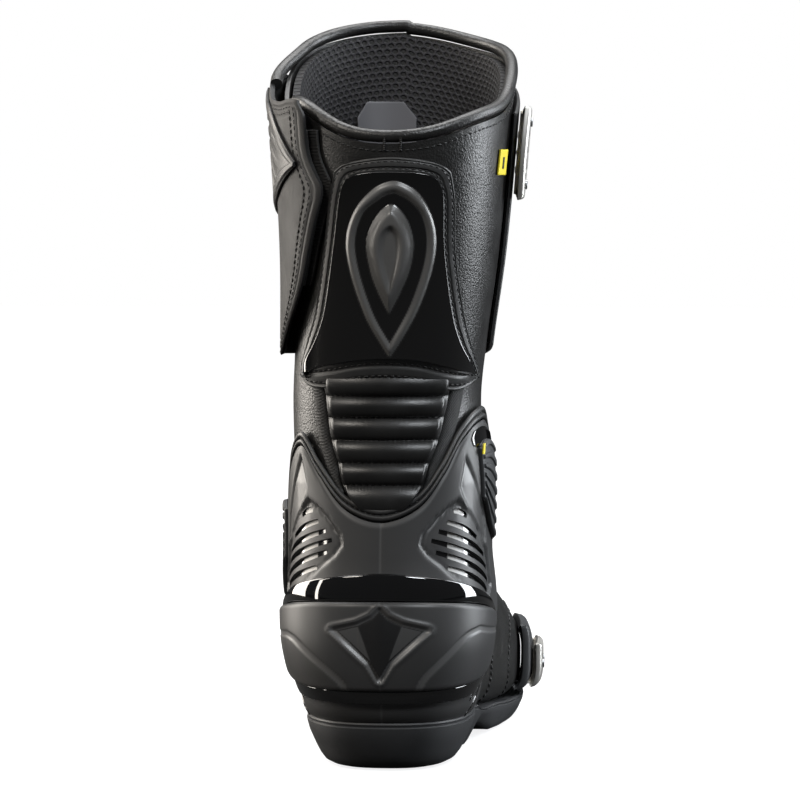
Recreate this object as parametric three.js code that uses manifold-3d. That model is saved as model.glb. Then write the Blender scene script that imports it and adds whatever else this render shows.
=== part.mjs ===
// A right-foot motorcycle riding boot, in millimetres: +X is the outer side of the foot, +Y points to
// the toe and +Z is up. The origin is on the floor, at the middle of the heel's flat tread.
// The leather upper follows one smooth last surface. Every other piece is a layer on that surface.
import * as THREE from "three";
import { mergeVertices } from "three/addons/utils/BufferGeometryUtils.js";
import Module from "manifold-3d";

const wasm = await Module();
wasm.setup();

// ---------------------------------------------------------------- driving dimensions
const bootLength = 312; // back of the heel leather to the toe tip
const bootHeight = 352; // floor to the front of the top edge
const bootWidth = 91; // across the leather at the heel cup
const collarDrop = 57; // how much lower the top edge is at the back
const heelLift = 18.5; // floor to the underside of the heel leather
const ballLift = 9.5; // floor to the underside of the leather at the ball of the foot

const leatherThick = 2;
const shaftLiningThick = 4;
const footLiningThick = 2.2;
const layerGap = 0.5; // free space between two layers
const stackGap = 1.1; // free space where both layers are strongly curved
const clearance = 0.4; // free space between pieces that meet edge to edge
const frameThick = 2.6; // moulded ankle frame
const guardThick = 3.4; // heel guard on the ankle frame
const bandThick = 1.6; // gloss bands beside the heel guard
const plateThick = 2.4; // calf plate and shin plate
const borderThick = 1.6; // stitched border of the calf plate
const quiltThick = 5; // padded rib panels at the heel tendon and the instep
const pipingRadius = 3;
const flapThick = 2.4;
const velcroThick = 1.7;
const padThick = 1.8; // ribbed pad on the closure flap
const boardThick = 2;
const footbedThick = 4;
const shankThick = 1.5;
const shankWidth = 14;
const weltWidth = 2.6; // how far the rubber sole stands out round the leather
const soleCup = 4; // how far the rubber sole climbs the leather
const zipToothWidth = 5.5;
const zipTapeWidth = 9;
const zipTapeThick = 0.6;
const collarWidth = 6; // padded trim along the top of the ankle frame
const sliderThick = 2.6;
const sliderLength = 11;
const sliderWidth = 8;
const pullLength = 22;
const pullWidth = 6;
const pullThick = 0.8;
const plateScrewRadius = 2.2;
const metalPlateThick = 5;
const tagThick = 0.8;

// ---------------------------------------------------------------- the last
// Sizes of the sample boot that the stations below were drawn for, and the grading to this one.
const sample = { length: 312, height: 352, width: 91, ankle: 105, heel: 18.5, ball: 9.5, rear: 46 };
const ankleHeight = 105; // height of the ankle axis, where the shaft flexes on the foot
const grade = {
  x: bootWidth / sample.width,
  y: bootLength / sample.length,
  up: (bootHeight - ankleHeight) / (sample.height - sample.ankle),
};
const liftShift = heelLift - sample.heel;
const ankleShare = ankleHeight / sample.ankle;
const gradeZ = (z) => (z <= sample.ankle ? z * ankleShare : ankleHeight + (z - sample.ankle) * grade.up);
const gradeY = (y) => -sample.rear + (y + sample.rear) * grade.y;
const ungradeZ = (z) => (z <= ankleHeight ? z / ankleShare : sample.ankle + (z - ankleHeight) / grade.up);

// Level outlines of the leg and heel: height, inner side, outer side, back and front.
const legStations = [
  [22, -36.5, 37.5, -41, 60],
  [38, -39, 40, -44, 64],
  [50, -42.5, 42.8, -46, 68],
  [62, -44.6, 44.8, -46.5, 72],
  [80, -45.3, 45.4, -44.5, 75],
  [100, -45, 44.8, -41, 77],
  [136, -45.6, 45.3, -36, 78],
  [172, -46.5, 43.2, -35, 75],
  [200, -45.5, 46, -39, 73],
  [243, -45.5, 52, -46, 75],
  [290, -48, 56.5, -51.5, 80],
  [352, -53.5, 61.5, -54.5, 87],
];
// Upright outlines of the foot: distance forward, inner side, outer side, underside and top.
const footStations = [
  [-20, -28, 29, 18.5, 60],
  [20, -36, 37, 18.5, 112],
  [60, -39.5, 43.5, 15.5, 124],
  [90, -41.5, 46.5, 13, 112],
  [120, -45, 50.5, 10.5, 94],
  [150, -48, 54, 9.5, 80],
  [180, -48.5, 54, 9.5, 70],
  [215, -47, 48, 11.5, 62],
  [266, -46, 32, 17, 54],
];
const legCentreY = 15;
const legFloor = 34; // below this height the heel rounds under
const toeStart = 200; // forward of this the toe rounds off
const heelStart = 0; // behind this the foot outline rounds off inside the heel
const blendWidth = { sole: 1.5, instep: 18 }; // how softly the leg and the foot run together
const power = { leg: 2.25, heel: 2.6, floor: 3.6, under: 5, over: 2.1, toe: 2.3 };

// Smooth curve through hand-set stations, with slopes from the neighbours.
function smooth(stations, column, at) {
  const n = stations.length;
  if (at <= stations[0][0]) return stations[0][column];
  if (at >= stations[n - 1][0]) return stations[n - 1][column];
  let i = 0;
  while (at > stations[i + 1][0]) i++;
  const slope = (k) => {
    const a = stations[Math.max(0, k - 1)], b = stations[Math.min(n - 1, k + 1)];
    return (b[column] - a[column]) / (b[0] - a[0]);
  };
  const [a, b] = [stations[i], stations[i + 1]];
  const h = b[0] - a[0], u = (at - a[0]) / h, u2 = u * u, u3 = u2 * u;
  return (2 * u3 - 3 * u2 + 1) * a[column] + (u3 - 2 * u2 + u) * h * slope(i) +
    (3 * u2 - 2 * u3) * b[column] + (u3 - u2) * h * slope(i + 1);
}
const lerp = (a, b, t) => a + (b - a) * t;
const clamp = (v, lo, hi) => Math.min(hi, Math.max(lo, v));
const rad = THREE.MathUtils.degToRad;

const legAt = (z) => {
  const u = Math.max(ungradeZ(z), legStations[0][0]);
  return {
    left: smooth(legStations, 1, u) * grade.x,
    right: smooth(legStations, 2, u) * grade.x,
    rear: gradeY(smooth(legStations, 3, u)),
    front: gradeY(smooth(legStations, 4, u)),
  };
};
const footAt = (y) => {
  const u = (y + sample.rear) / grade.y - sample.rear;
  const ballShare = clamp((u - 60) / 60, 0, 1);
  return {
    left: smooth(footStations, 1, u) * grade.x,
    right: smooth(footStations, 2, u) * grade.x,
    under: smooth(footStations, 3, u) + lerp(liftShift, ballLift - sample.ball, ballShare),
    over: smooth(footStations, 4, u),
  };
};
const soften = (v, from, to) => THREE.MathUtils.smoothstep(v, from, to);
const norm = (n, ...terms) => (terms.reduce((sum, term) => sum + Math.abs(term) ** n, 1e-9)) ** (1 / n);

// Signed distance, near enough, from the leather's outer surface: negative inside the boot.
function lastField(x, y, z) {
  const leg = legAt(z);
  const lx = x - (leg.left + leg.right) / 2, ly = y - legCentreY;
  const legDepth = ly < 0 ? legCentreY - leg.rear : leg.front - legCentreY;
  const lz = Math.min(0, z - legFloor);
  const legPower = lerp(power.heel, power.leg, soften(z, 50, 110));
  const plan = norm(legPower, lx / ((leg.right - leg.left) / 2), ly / legDepth);
  const legRoot = norm(power.floor, plan, lz / (legFloor - heelLift));
  const legGap = Math.hypot(lx, ly, lz) * (1 - 1 / legRoot);

  const foot = footAt(y);
  const fx = x - (foot.left + foot.right) / 2;
  const middle = foot.under + 0.4 * (foot.over - foot.under);
  const fz = z - middle;
  const toe = Math.max(0, y - gradeY(toeStart)), heel = Math.min(0, y - heelStart);
  const n = fz < 0 ? power.under : power.over;
  const footDepth = fz < 0 ? middle - foot.under : foot.over - middle;
  const across = norm(n, fx / ((foot.right - foot.left) / 2), fz / footDepth);
  const toeLength = gradeY(sample.length - sample.rear) - gradeY(toeStart);
  const footRoot = norm(power.toe, across, toe / toeLength, heel / 40);
  const footGap = Math.hypot(fx, fz, toe, heel) * (1 - 1 / footRoot);

  const blend = lerp(blendWidth.sole, blendWidth.instep, soften(z, 30, 75));
  const near = Math.max(blend - Math.abs(legGap - footGap), 0) / blend;
  return Math.min(legGap, footGap) - near * near * blend / 4;
}

// First point where a ray from inside the boot meets the leather's outer surface, and the normal there.
function cast(centre, direction, level = 0) {
  const at = (s) => [0, 1, 2].map((k) => centre[k] + direction[k] * s);
  let near = 0, far = 4;
  while (lastField(...at(far)) < level && far < 400) [near, far] = [far, far + 4];
  for (let i = 0; i < 24; i++) {
    const middle = (near + far) / 2;
    if (lastField(...at(middle)) < level) near = middle;
    else far = middle;
  }
  const p = at(near), e = 0.4;
  const slope = [0, 1, 2].map((k) => {
    const up = [...p], down = [...p];
    up[k] += e;
    down[k] -= e;
    return lastField(...up) - lastField(...down);
  });
  return { point: new THREE.Vector3(...p), normal: new THREE.Vector3(...slope).normalize() };
}

// Four ways to place a ray. Angle 0 is the back of the leg, the underside of the foot and the middle
// of the sole; +90 degrees is the outer side, and 180 the shin, the instep and the top of the toe.
const pivotY = gradeY(112), shaftFoot = gradeZ(172); // the shaft's leather ends level with the instep pivot
const toeCentreY = gradeY(toeStart);
const ring = (angle, back, up, forward = 0) => [
  Math.sin(angle) * Math.cos(forward),
  Math.cos(angle) * back * Math.cos(forward) + Math.sin(forward),
  Math.cos(angle) * up * Math.cos(forward),
];
const legMiddle = (z) => (legAt(z).left + legAt(z).right) / 2;
const footMiddle = (y) => (footAt(y).left + footAt(y).right) / 2;
const footMiddleZ = (y) => lerp(footAt(y).under, footAt(y).over, 0.4);
const onShaft = (degrees, z) => cast([legMiddle(z), legCentreY, z], ring(rad(degrees), -1, 0));
const onAnkle = (degrees, turn) => {
  const t = turn / 90, a = rad(turn);
  const reach = lerp(pivotY - legCentreY, shaftFoot - footMiddleZ(pivotY), t);
  const centre = [
    lerp(legMiddle(shaftFoot), footMiddle(pivotY), t),
    pivotY - reach * Math.cos(a),
    shaftFoot - reach * Math.sin(a),
  ];
  return cast(centre, ring(rad(degrees), -Math.cos(a), -Math.sin(a)));
};
const onFoot = (degrees, y) => cast([footMiddle(y), y, footMiddleZ(y)], ring(rad(degrees), 0, -1));
const onToe = (degrees, tilt) =>
  cast([footMiddle(toeCentreY), toeCentreY, footMiddleZ(toeCentreY)], ring(rad(degrees), 0, -1, rad(tilt)));

// The top edge: low at the back, high at the shin.
const collarHeight = (degrees) => bootHeight - collarDrop / 2 - (collarDrop / 2) * Math.cos(rad(degrees));

// ---------------------------------------------------------------- mesh helpers
// A closed shell between two depths of the last surface, over a grid of places.
function shell({ columns, rows, place, inner, outer, closed = false, pole = false }) {
  const points = [], faces = [];
  const side = (depth) => {
    const grid = [];
    for (let j = 0; j <= rows; j++) {
      const row = [];
      for (let i = 0; i < (closed ? columns : columns + 1); i++) {
        if (pole && j === rows && i > 0) {
          row.push(row[0]);
          continue;
        }
        const s = i / columns, t = j / rows, { point, normal } = place(s, t);
        const d = typeof depth === "function" ? depth(s, t) : depth;
        points.push(point.clone().addScaledVector(normal, d));
        row.push(points.length - 1);
      }
      if (closed) row.push(row[0]);
      grid.push(row);
    }
    return grid;
  };
  const top = side(outer), bottom = side(inner);
  const quad = (a, b, c, d) => faces.push([a, b, c], [a, c, d]);
  for (let j = 0; j < rows; j++)
    for (let i = 0; i < columns; i++) {
      quad(top[j][i], top[j][i + 1], top[j + 1][i + 1], top[j + 1][i]);
      quad(bottom[j][i], bottom[j + 1][i], bottom[j + 1][i + 1], bottom[j][i + 1]);
    }
  for (let i = 0; i < columns; i++) {
    quad(top[0][i], bottom[0][i], bottom[0][i + 1], top[0][i + 1]);
    if (!pole) quad(top[rows][i], top[rows][i + 1], bottom[rows][i + 1], bottom[rows][i]);
  }
  if (!closed)
    for (let j = 0; j < rows; j++) {
      quad(top[j][0], top[j + 1][0], bottom[j + 1][0], bottom[j][0]);
      quad(top[j][columns], bottom[j][columns], bottom[j + 1][columns], top[j + 1][columns]);
    }
  return solidFrom(points, faces);
}

// Vertices and triangles as a solid with its faces pointing out.
function solidFrom(points, faces) {
  const used = faces.filter(([a, b, c]) => a !== b && b !== c && a !== c);
  const area = used.reduce((sum, [a, b, c]) =>
    sum + points[a].dot(new THREE.Vector3().crossVectors(points[b], points[c])), 0);
  const geometry = new THREE.BufferGeometry().setFromPoints(points);
  geometry.setIndex((area < 0 ? used.map(([a, b, c]) => [a, c, b]) : used).flat());
  return toSolid(geometry);
}

function toSolid(geometry) {
  const bare = geometry.clone();
  bare.deleteAttribute("normal");
  bare.deleteAttribute("uv");
  const merged = mergeVertices(bare, 1e-4);
  return new wasm.Manifold(new wasm.Mesh({
    numProp: 3,
    vertProperties: new Float32Array(merged.attributes.position.array),
    triVerts: new Uint32Array(merged.index.array),
  }));
}

function toGeometry(solid) {
  const mesh = solid.getMesh(), n = mesh.numProp;
  const positions = new Float32Array((mesh.vertProperties.length / n) * 3);
  for (let i = 0; i < positions.length / 3; i++)
    positions.set(mesh.vertProperties.subarray(i * n, i * n + 3), i * 3);
  const geometry = new THREE.BufferGeometry();
  geometry.setAttribute("position", new THREE.BufferAttribute(positions, 3));
  geometry.setIndex(new THREE.BufferAttribute(new Uint32Array(mesh.triVerts), 1));
  geometry.computeVertexNormals();
  return geometry;
}

// A smooth open curve through hand-set pairs, as a function of 0 to 1.
function through(pairs) {
  const curve = new THREE.SplineCurve(pairs.map(([a, b]) => new THREE.Vector2(a, b)));
  return (t) => curve.getPoint(t);
}
// A patch between four edges, each a function of 0 to 1 that gives a place.
const coons = (low, high, left, right) => (s, t) => {
  const mix = (k) =>
    lerp(low(s)[k], high(s)[k], t) + lerp(left(t)[k], right(t)[k], s) -
    lerp(lerp(low(0)[k], low(1)[k], s), lerp(high(0)[k], high(1)[k], s), t);
  return [mix("x"), mix("y")];
};
const between = (low, high) => (s, t) => [lerp(low(s).x, high(s).x, t), lerp(low(s).y, high(s).y, t)];
const onLeg = (outline) => (s, t) => onShaft(...outline(s, t));
// A layer of even thickness between two depths, given as [inner, outer].
const sheet = (place, columns, rows, [inner, outer]) => shell({ columns, rows, place, inner, outer });

// A bar between two points of the last surface, as a box with its own frame.
function frameAt({ point, normal }, along) {
  const z = normal.clone(), y = along.clone().addScaledVector(z, -along.dot(z)).normalize();
  return new THREE.Matrix4().makeBasis(new THREE.Vector3().crossVectors(y, z), y, z).setPosition(point);
}
const roundedBar = (width, length, thick, radius, facets = 3) => {
  const w = width / 2 - radius, l = length / 2 - radius, shape = new THREE.Shape();
  [[w, l, 0], [-w, l, 90], [-w, -l, 180], [w, -l, 270]].forEach(([x, y, from]) =>
    shape.absarc(x, y, radius, rad(from), rad(from + 90)));
  return new THREE.ExtrudeGeometry(shape, { depth: thick, bevelEnabled: false, curveSegments: facets });
};

// ---------------------------------------------------------------- finishes
function finish(color, roughness, metalness = 0) {
  return new THREE.MeshStandardMaterial({ color, roughness, metalness });
}
const leather = finish(0x1b1c1d, 0.5);
const matteShell = finish(0x2b2c2d, 0.55);
const glossShell = finish(0x08080a, 0.1);
const rubber = finish(0x232425, 0.7);
const meshLining = finish(0x17161a, 0.95);
const metal = finish(0xb9bab4, 0.35, 0.9);
const webbing = finish(0x0c0c0c, 0.9);
const board = finish(0x8a7d66, 0.9);
const steel = finish(0x8d9094, 0.4, 1);
const yellow = finish(0xf2dc1c, 0.6);

const boot = new THREE.Group();
const add = (name, solid, material) => {
  const mesh = new THREE.Mesh(toGeometry(solid), material);
  mesh.name = name;
  boot.add(mesh);
  return mesh;
};

// ---------------------------------------------------------------- depths of the layers on the leather
const depth = { leather: [-leatherThick, 0] };
depth.frame = [stackGap, stackGap + frameThick];
depth.band = [depth.frame[1] + stackGap, depth.frame[1] + stackGap + bandThick];
depth.guard = [depth.frame[1] + stackGap, depth.frame[1] + stackGap + guardThick];
depth.border = [stackGap, stackGap + borderThick];
depth.plate = [depth.border[1] + layerGap, depth.border[1] + layerGap + plateThick];
depth.quilt = [stackGap, stackGap + quiltThick];
depth.loop = [layerGap, layerGap + velcroThick];
depth.hook = [depth.loop[1] + layerGap, depth.loop[1] + layerGap + velcroThick];
depth.flap = [depth.hook[1] + layerGap, depth.hook[1] + layerGap + flapThick];
depth.pad = [depth.flap[1] + layerGap, depth.flap[1] + layerGap + padThick];
depth.vent = [layerGap + 0.2, layerGap + 1.2];
depth.shin = [layerGap, layerGap + plateThick + 1];
const liningGap = layerGap + zipTapeThick + layerGap; // the zip's tapes lie between leather and lining
depth.lining = (thick, gap = layerGap) => [-leatherThick - gap - thick, -leatherThick - gap];

// ---------------------------------------------------------------- sole unit
const roundColumns = 24; // facets round the foot and leg
const shellRows = { shaft: 8, gusset: 3, heel: 11, foot: 6, toe: 4 };

// The underside of the foot as a closed loop of rays: heel, outer side, toe, inner side.
function soleLoop(level, rise) {
  const loop = [];
  const heelSteps = 6, toeSteps = 6;
  const sides = [32, 38, 44, 52, 64, 80, 100, 125, 150, 175].map(gradeY);
  const ray = (x, y, angle, height) =>
    cast([x, y, height], [Math.sin(angle), -Math.cos(angle), 0], level).point;
  const under = (y) => footAt(Math.max(y, -20)).under + rise;
  for (let i = 0; i <= heelSteps; i++) loop.push(ray(0, legCentreY, rad((90 * i) / heelSteps), under(0)));
  sides.forEach((y) => loop.push(ray(footMiddle(y), y, rad(90), under(y))));
  for (let i = 0; i <= toeSteps; i++)
    loop.push(ray(footMiddle(toeCentreY), toeCentreY, rad(90 + (90 * i) / toeSteps), under(toeCentreY)));
  const other = [...sides].reverse();
  for (let i = toeSteps - 1; i >= 0; i--)
    loop.push(ray(footMiddle(toeCentreY), toeCentreY, -rad(90 + (90 * i) / toeSteps), under(toeCentreY)));
  other.forEach((y) => loop.push(ray(footMiddle(y), y, rad(-90), under(y))));
  for (let i = heelSteps; i > 0; i--) loop.push(ray(0, legCentreY, -rad((90 * i) / heelSteps), under(0)));
  return loop;
}
// A solid from rings of the loop, lowest first, closed by strips across the foot.
function stack(rings) {
  const points = rings.flat(), n = rings[0].length, faces = [];
  for (let k = 0; k + 1 < rings.length; k++)
    for (let i = 0; i < n; i++) {
      const j = (i + 1) % n, a = k * n, b = a + n;
      faces.push([a + i, a + j, b + j], [a + i, b + j, b + i]);
    }
  const cap = (base, flip) => {
    for (let i = 0; i < n / 2; i++) {
      const [a, b, c, d] = [base + i, base + i + 1, base + n - i - 1, base + ((n - i) % n)];
      [[a, c, b], [a, d, c]].forEach(([p, q, r]) => faces.push(flip ? [p, r, q] : [p, q, r]));
    }
  };
  cap(0, false);
  cap((rings.length - 1) * n, true);
  return solidFrom(points, faces);
}
const inward = (loop, distance) => loop.map((p, i) => {
  const before = loop[(i + loop.length - 1) % loop.length], after = loop[(i + 1) % loop.length];
  const along = new THREE.Vector3(after.x - before.x, after.y - before.y, 0).normalize();
  const d = typeof distance === "function" ? distance(p.y) : distance;
  return new THREE.Vector3(p.x - along.y * d, p.y + along.x * d, p.z);
});
const setHeights = (loop, height) => loop.map((p) => new THREE.Vector3(p.x, p.y, height(p.y)));

// Tread heights along the foot: flat heel block, raised waist, flat forefoot and toe spring.
const heelBreast = gradeY(44), waistTop = 9, toeSpring = 9;
const treadStations = [
  [heelBreast, 0],
  [gradeY(52), waistTop],
  [gradeY(64), waistTop],
  [gradeY(100), 1],
  [gradeY(120), 0],
  [gradeY(185), 0],
  [gradeY(230), 3.5],
  [gradeY(272), toeSpring],
];
const tread = (y) => {
  if (y <= treadStations[0][0]) return 0;
  const i = treadStations.findIndex(([at]) => at >= y);
  if (i < 0) return toeSpring;
  const [a, b] = [treadStations[i - 1], treadStations[i]];
  return lerp(a[1], b[1], (y - a[0]) / (b[0] - a[0]));
};
const heelShare = (y) => clamp((heelBreast + 20 - y) / 30, 0, 1);
const feather = (y) => footAt(Math.max(y, -20)).under;

const featherLoop = soleLoop(0, 9);
const weltLoop = inward(featherLoop, -weltWidth);
const outsoleBlock = stack([
  setHeights(inward(weltLoop, (y) => lerp(5, 14, heelShare(y))), tread),
  setHeights(
    inward(weltLoop, (y) => lerp(2, 9.5, heelShare(y))),
    (y) => tread(y) + lerp(1.5, 3.5, heelShare(y)),
  ),
  setHeights(inward(weltLoop, (y) => lerp(0.4, 3, heelShare(y))), (y) => lerp(tread(y), feather(y), 0.72)),
  setHeights(weltLoop, (y) => feather(y) + soleCup),
]);

// A bent strip along the foot, drawn from the side and extruded across it.
function strip(fromY, toY, lift, thick, width) {
  const steps = 8, shape = new THREE.Shape(), low = [], high = [];
  for (let i = 0; i <= steps; i++) {
    const y = lerp(fromY, toY, i / steps), z = feather(y) + lift;
    low.push([y, z]);
    high.push([y, z + thick]);
  }
  [...low, ...high.reverse()].forEach(([y, z], i) => (i ? shape.lineTo(y, z) : shape.moveTo(y, z)));
  const geometry = new THREE.ExtrudeGeometry(shape, { depth: width, bevelEnabled: false });
  // Shape axes (y, z) become +Y and +Z, and the extrusion becomes +X.
  geometry.applyMatrix4(new THREE.Matrix4().set(0, 0, 1, -width / 2, 1, 0, 0, 0, 0, 1, 0, 0, 0, 0, 0, 1));
  return toSolid(geometry);
}
const shankFrom = gradeY(8), shankTo = gradeY(118);
const shankLift = -layerGap - shankThick - 2 * clearance;
const pocketWidth = shankWidth + 2 * clearance;
const shankPocket = strip(shankFrom - clearance, shankTo + clearance, shankLift - clearance, 8, pocketWidth);
add("shank", strip(shankFrom, shankTo, shankLift, shankThick, shankWidth), steel);

// Flat pieces inside the boot: the insole board and the footbed on it.
const liningFloor = leatherThick + layerGap + footLiningThick;
function insideFloor(lift, thick) {
  const loop = inward(featherLoop, liningFloor + 10);
  const level = (height) => setHeights(loop, (y) => feather(y) + height);
  return stack([level(lift), level(lift + thick)]);
}
const boardLift = liningFloor + 3.6; // clear of the lining where the floor curves up to the walls
add("insole_board", insideFloor(boardLift, boardThick), board);
add("footbed", insideFloor(boardLift + boardThick + clearance, footbedThick), meshLining);

// ---------------------------------------------------------------- leather and lining
// The seam between the foot's leather and the flexing ankle, as a turn about the instep pivot.
const gussetTurn = (degrees) => lerp(34, 21, 0.5 + 0.5 * Math.cos(rad(degrees)));
const seam = 0.35; // half of the gap between two leather pieces, in degrees of turn or millimetres
const round = { columns: roundColumns, closed: true };
const turnBetween = (from, to, share = (t) => t) => (s, t) =>
  onAnkle(360 * s, lerp(from(360 * s), to(360 * s), share(t)));
// Rows of the heel, closer together where its back turns under.
const heelTurns = [0, 0.13, 0.22, 0.28, 0.315, 0.345, 0.375, 0.42, 0.5, 0.64, 0.82, 1];
const heelRing = (gap) =>
  turnBetween((a) => gussetTurn(a) + gap, () => 90 - gap, (t) => heelTurns[Math.round(t * shellRows.heel)]);
const ankleRing = turnBetween(() => seam, (a) => gussetTurn(a) - seam);
// The foot is one sock: straight rows first, then rows that close over the toe.
const straight = shellRows.foot / (shellRows.foot + shellRows.toe);
const sock = (gap) => (s, t) =>
  t <= straight + 1e-9
    ? onFoot(360 * s, lerp(pivotY + gap, toeCentreY, t / straight))
    : onToe(360 * s, (90 * (t - straight)) / (1 - straight));
const sockRows = shellRows.foot + shellRows.toe;
const sockShape = { ...round, pole: true };

// The sole is the block less the room that the leather takes in it.
const footRoom = { inner: -9, outer: layerGap };
const heelRoom = shell({ ...round, ...footRoom, rows: shellRows.heel, place: heelRing(0) });
const foreRoom = shell({ ...sockShape, ...footRoom, rows: sockRows, place: sock(0) });
add("outsole", outsoleBlock.subtract(heelRoom).subtract(foreRoom).subtract(shankPocket), rubber);

function layer(name, place, rows, [inner, outer], material, extra = round) {
  add(name, shell({ ...extra, rows, place, inner, outer }), material);
}
layer("vamp", sock(seam), sockRows, depth.leather, leather, sockShape);
layer("heel_quarter", heelRing(seam), shellRows.heel, depth.leather, leather);
layer("ankle_gusset", ankleRing, shellRows.gusset, depth.leather, leather);
layer("toe_lining", sock(seam), sockRows, depth.lining(footLiningThick), meshLining, sockShape);
layer("heel_lining", heelRing(seam), shellRows.heel, depth.lining(footLiningThick), meshLining);
layer("ankle_lining", ankleRing, shellRows.gusset, depth.lining(shaftLiningThick, liningGap), meshLining);

// The closure runs down the inner side as a straight zip under a flap.
const zipTop = { degrees: -60, z: collarHeight(-60) - 8 }, zipFoot = { degrees: -85, z: gradeZ(206) };
const zipShare = (z) => clamp((z - zipFoot.z) / (zipTop.z - zipFoot.z), -0.4, 1.1);
const zipAt = (z) => lerp(zipFoot.degrees, zipTop.degrees, zipShare(z));
const degreesPerMm = 180 / (Math.PI * 58);
// Below the zip the two quarters close up into a seam.
const zipOpen = (z) => soften(z, zipFoot.z - 30, zipFoot.z - 19);
const zipHalf = (z) => lerp(clearance, zipToothWidth / 2 + clearance, zipOpen(z)) * degreesPerMm;
const lateralSeam = 78; // where the two quarters meet on the outer side
const edgeGap = clearance * degreesPerMm;

const shaftRow = (from, to) => (s, t) => {
  const base = shaftFoot + seam;
  let degrees = lerp(from(base), to(base), s), z = base;
  for (let i = 0; i < 3; i++) {
    z = lerp(base, collarHeight(degrees) - pipingRadius, t);
    degrees = lerp(from(z), to(z), s);
  }
  return onShaft(degrees, z);
};
const rearQuarter = shaftRow((z) => zipAt(z) + zipHalf(z), () => lateralSeam - edgeGap);
const frontQuarter = shaftRow((z) => zipAt(z) - zipHalf(z), () => lateralSeam + edgeGap - 360);
layer("rear_quarter", rearQuarter, shellRows.shaft, depth.leather, leather, { columns: 11 });
layer("front_quarter", frontQuarter, shellRows.shaft, depth.leather, leather, { columns: 14 });
const shaftLining = depth.lining(shaftLiningThick, liningGap);
layer("rear_lining", rearQuarter, shellRows.shaft, shaftLining, meshLining, { columns: 11 });
layer("front_lining", frontQuarter, shellRows.shaft, shaftLining, meshLining, { columns: 14 });

// Rolled binding round the top edge, open at the closure.
function sweep(path, section) {
  const points = path.map(({ point }) => point), faces = [], n = section.length, vertices = [];
  path.forEach(({ point, normal }, i) => {
    const before = points[Math.max(i - 1, 0)], after = points[Math.min(i + 1, points.length - 1)];
    const along = after.clone().sub(before).normalize();
    const out = normal.clone().addScaledVector(along, -normal.dot(along)).normalize();
    const up = new THREE.Vector3().crossVectors(along, out);
    section.forEach(([a, b]) => vertices.push(point.clone().addScaledVector(out, a).addScaledVector(up, b)));
  });
  for (let k = 0; k + 1 < path.length; k++)
    for (let i = 0; i < n; i++) {
      const j = (i + 1) % n;
      faces.push([k * n + i, k * n + j, (k + 1) * n + j], [k * n + i, (k + 1) * n + j, (k + 1) * n + i]);
    }
  const last = (path.length - 1) * n;
  for (let i = 1; i + 1 < n; i++) faces.push([0, i + 1, i], [last, last + i, last + i + 1]);
  return solidFrom(vertices, faces);
}
const circle = (radius, sides) => Array.from({ length: sides }, (_, i) => {
  const a = (2 * Math.PI * i) / sides;
  return [radius * Math.cos(a), radius * Math.sin(a)];
});
const pipingSteps = 34, pipingFrom = -55.5, pipingTo = 272; // degrees, the long way round past the shin
const bindingPath = Array.from({ length: pipingSteps + 1 }, (_, i) => {
  const degrees = lerp(pipingFrom, pipingTo, i / pipingSteps);
  const { point, normal } = onShaft(degrees, collarHeight(degrees) + clearance);
  return { point: point.addScaledVector(normal, -leatherThick), normal };
});
add("collar_binding", sweep(bindingPath, circle(pipingRadius, 7)), leather);

// ---------------------------------------------------------------- zip
const zipPoint = (z, offset = 0) => {
  const { point, normal } = onShaft(zipAt(z), z);
  return { point: point.addScaledVector(normal, offset), normal };
};
const zipSteps = 8;
const zipColumn = (side, near, far, [inner, outer]) => shell({
  columns: 1,
  rows: zipSteps,
  place: (s, t) => {
    const z = lerp(zipFoot.z, zipTop.z, t);
    return onShaft(zipAt(z) + side * lerp(near, far, s) * degreesPerMm, z);
  },
  inner,
  outer,
});
const toothBand = [-leatherThick - layerGap - 0.3, -0.2];
const tapeBand = [-leatherThick - layerGap - zipTapeThick, -leatherThick - layerGap];
[["rear", 1], ["front", -1]].forEach(([name, side]) => {
  const teeth = zipColumn(side, 0.2, zipToothWidth / 2, toothBand);
  add(`zip_tape_${name}`, zipColumn(side, 0.2, zipTapeWidth, tapeBand).add(teeth), webbing);
});

// The slider runs on the straight line between the zip's ends, just outside the teeth.
const sliderRise = 0.95;
const zipHigh = zipPoint(zipTop.z - sliderLength, sliderRise);
const zipLow = zipPoint(zipFoot.z + sliderLength, sliderRise);
const zipDown = zipLow.point.clone().sub(zipHigh.point).normalize();
const sliderFrame = frameAt(zipHigh, zipDown);
const pullStart = sliderLength / 2 - 2;
const sliderBody = toSolid(roundedBar(sliderWidth, sliderLength, sliderThick - pullThick - clearance, 2));
const placed = (solid, matrix) => {
  const geometry = toGeometry(solid).applyMatrix4(matrix);
  return toSolid(geometry);
};
add("zip_slider", placed(sliderBody, sliderFrame), metal);
const pullShape = roundedBar(pullWidth, pullLength, pullThick, 2);
pullShape.translate(0, pullStart + pullLength / 2 - 2, sliderThick - pullThick);
add("zip_pull", placed(toSolid(pullShape), sliderFrame), metal);

// ---------------------------------------------------------------- closure flap
const flapRoot = -106;
const flapRear = through([
  [-74, gradeZ(193)], [-50, gradeZ(216)], [-37, gradeZ(240)], [-33, gradeZ(270)], [-33, gradeZ(325)],
]);
const flapEdgeAt = (z) => {
  let lo = 0, hi = 1;
  for (let i = 0; i < 20; i++) {
    const middle = (lo + hi) / 2;
    if (flapRear(middle).y < z) lo = middle;
    else hi = middle;
  }
  return flapRear(lo).x;
};
const flapFoot = gradeZ(193);
const flapTopGap = 2;
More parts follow.
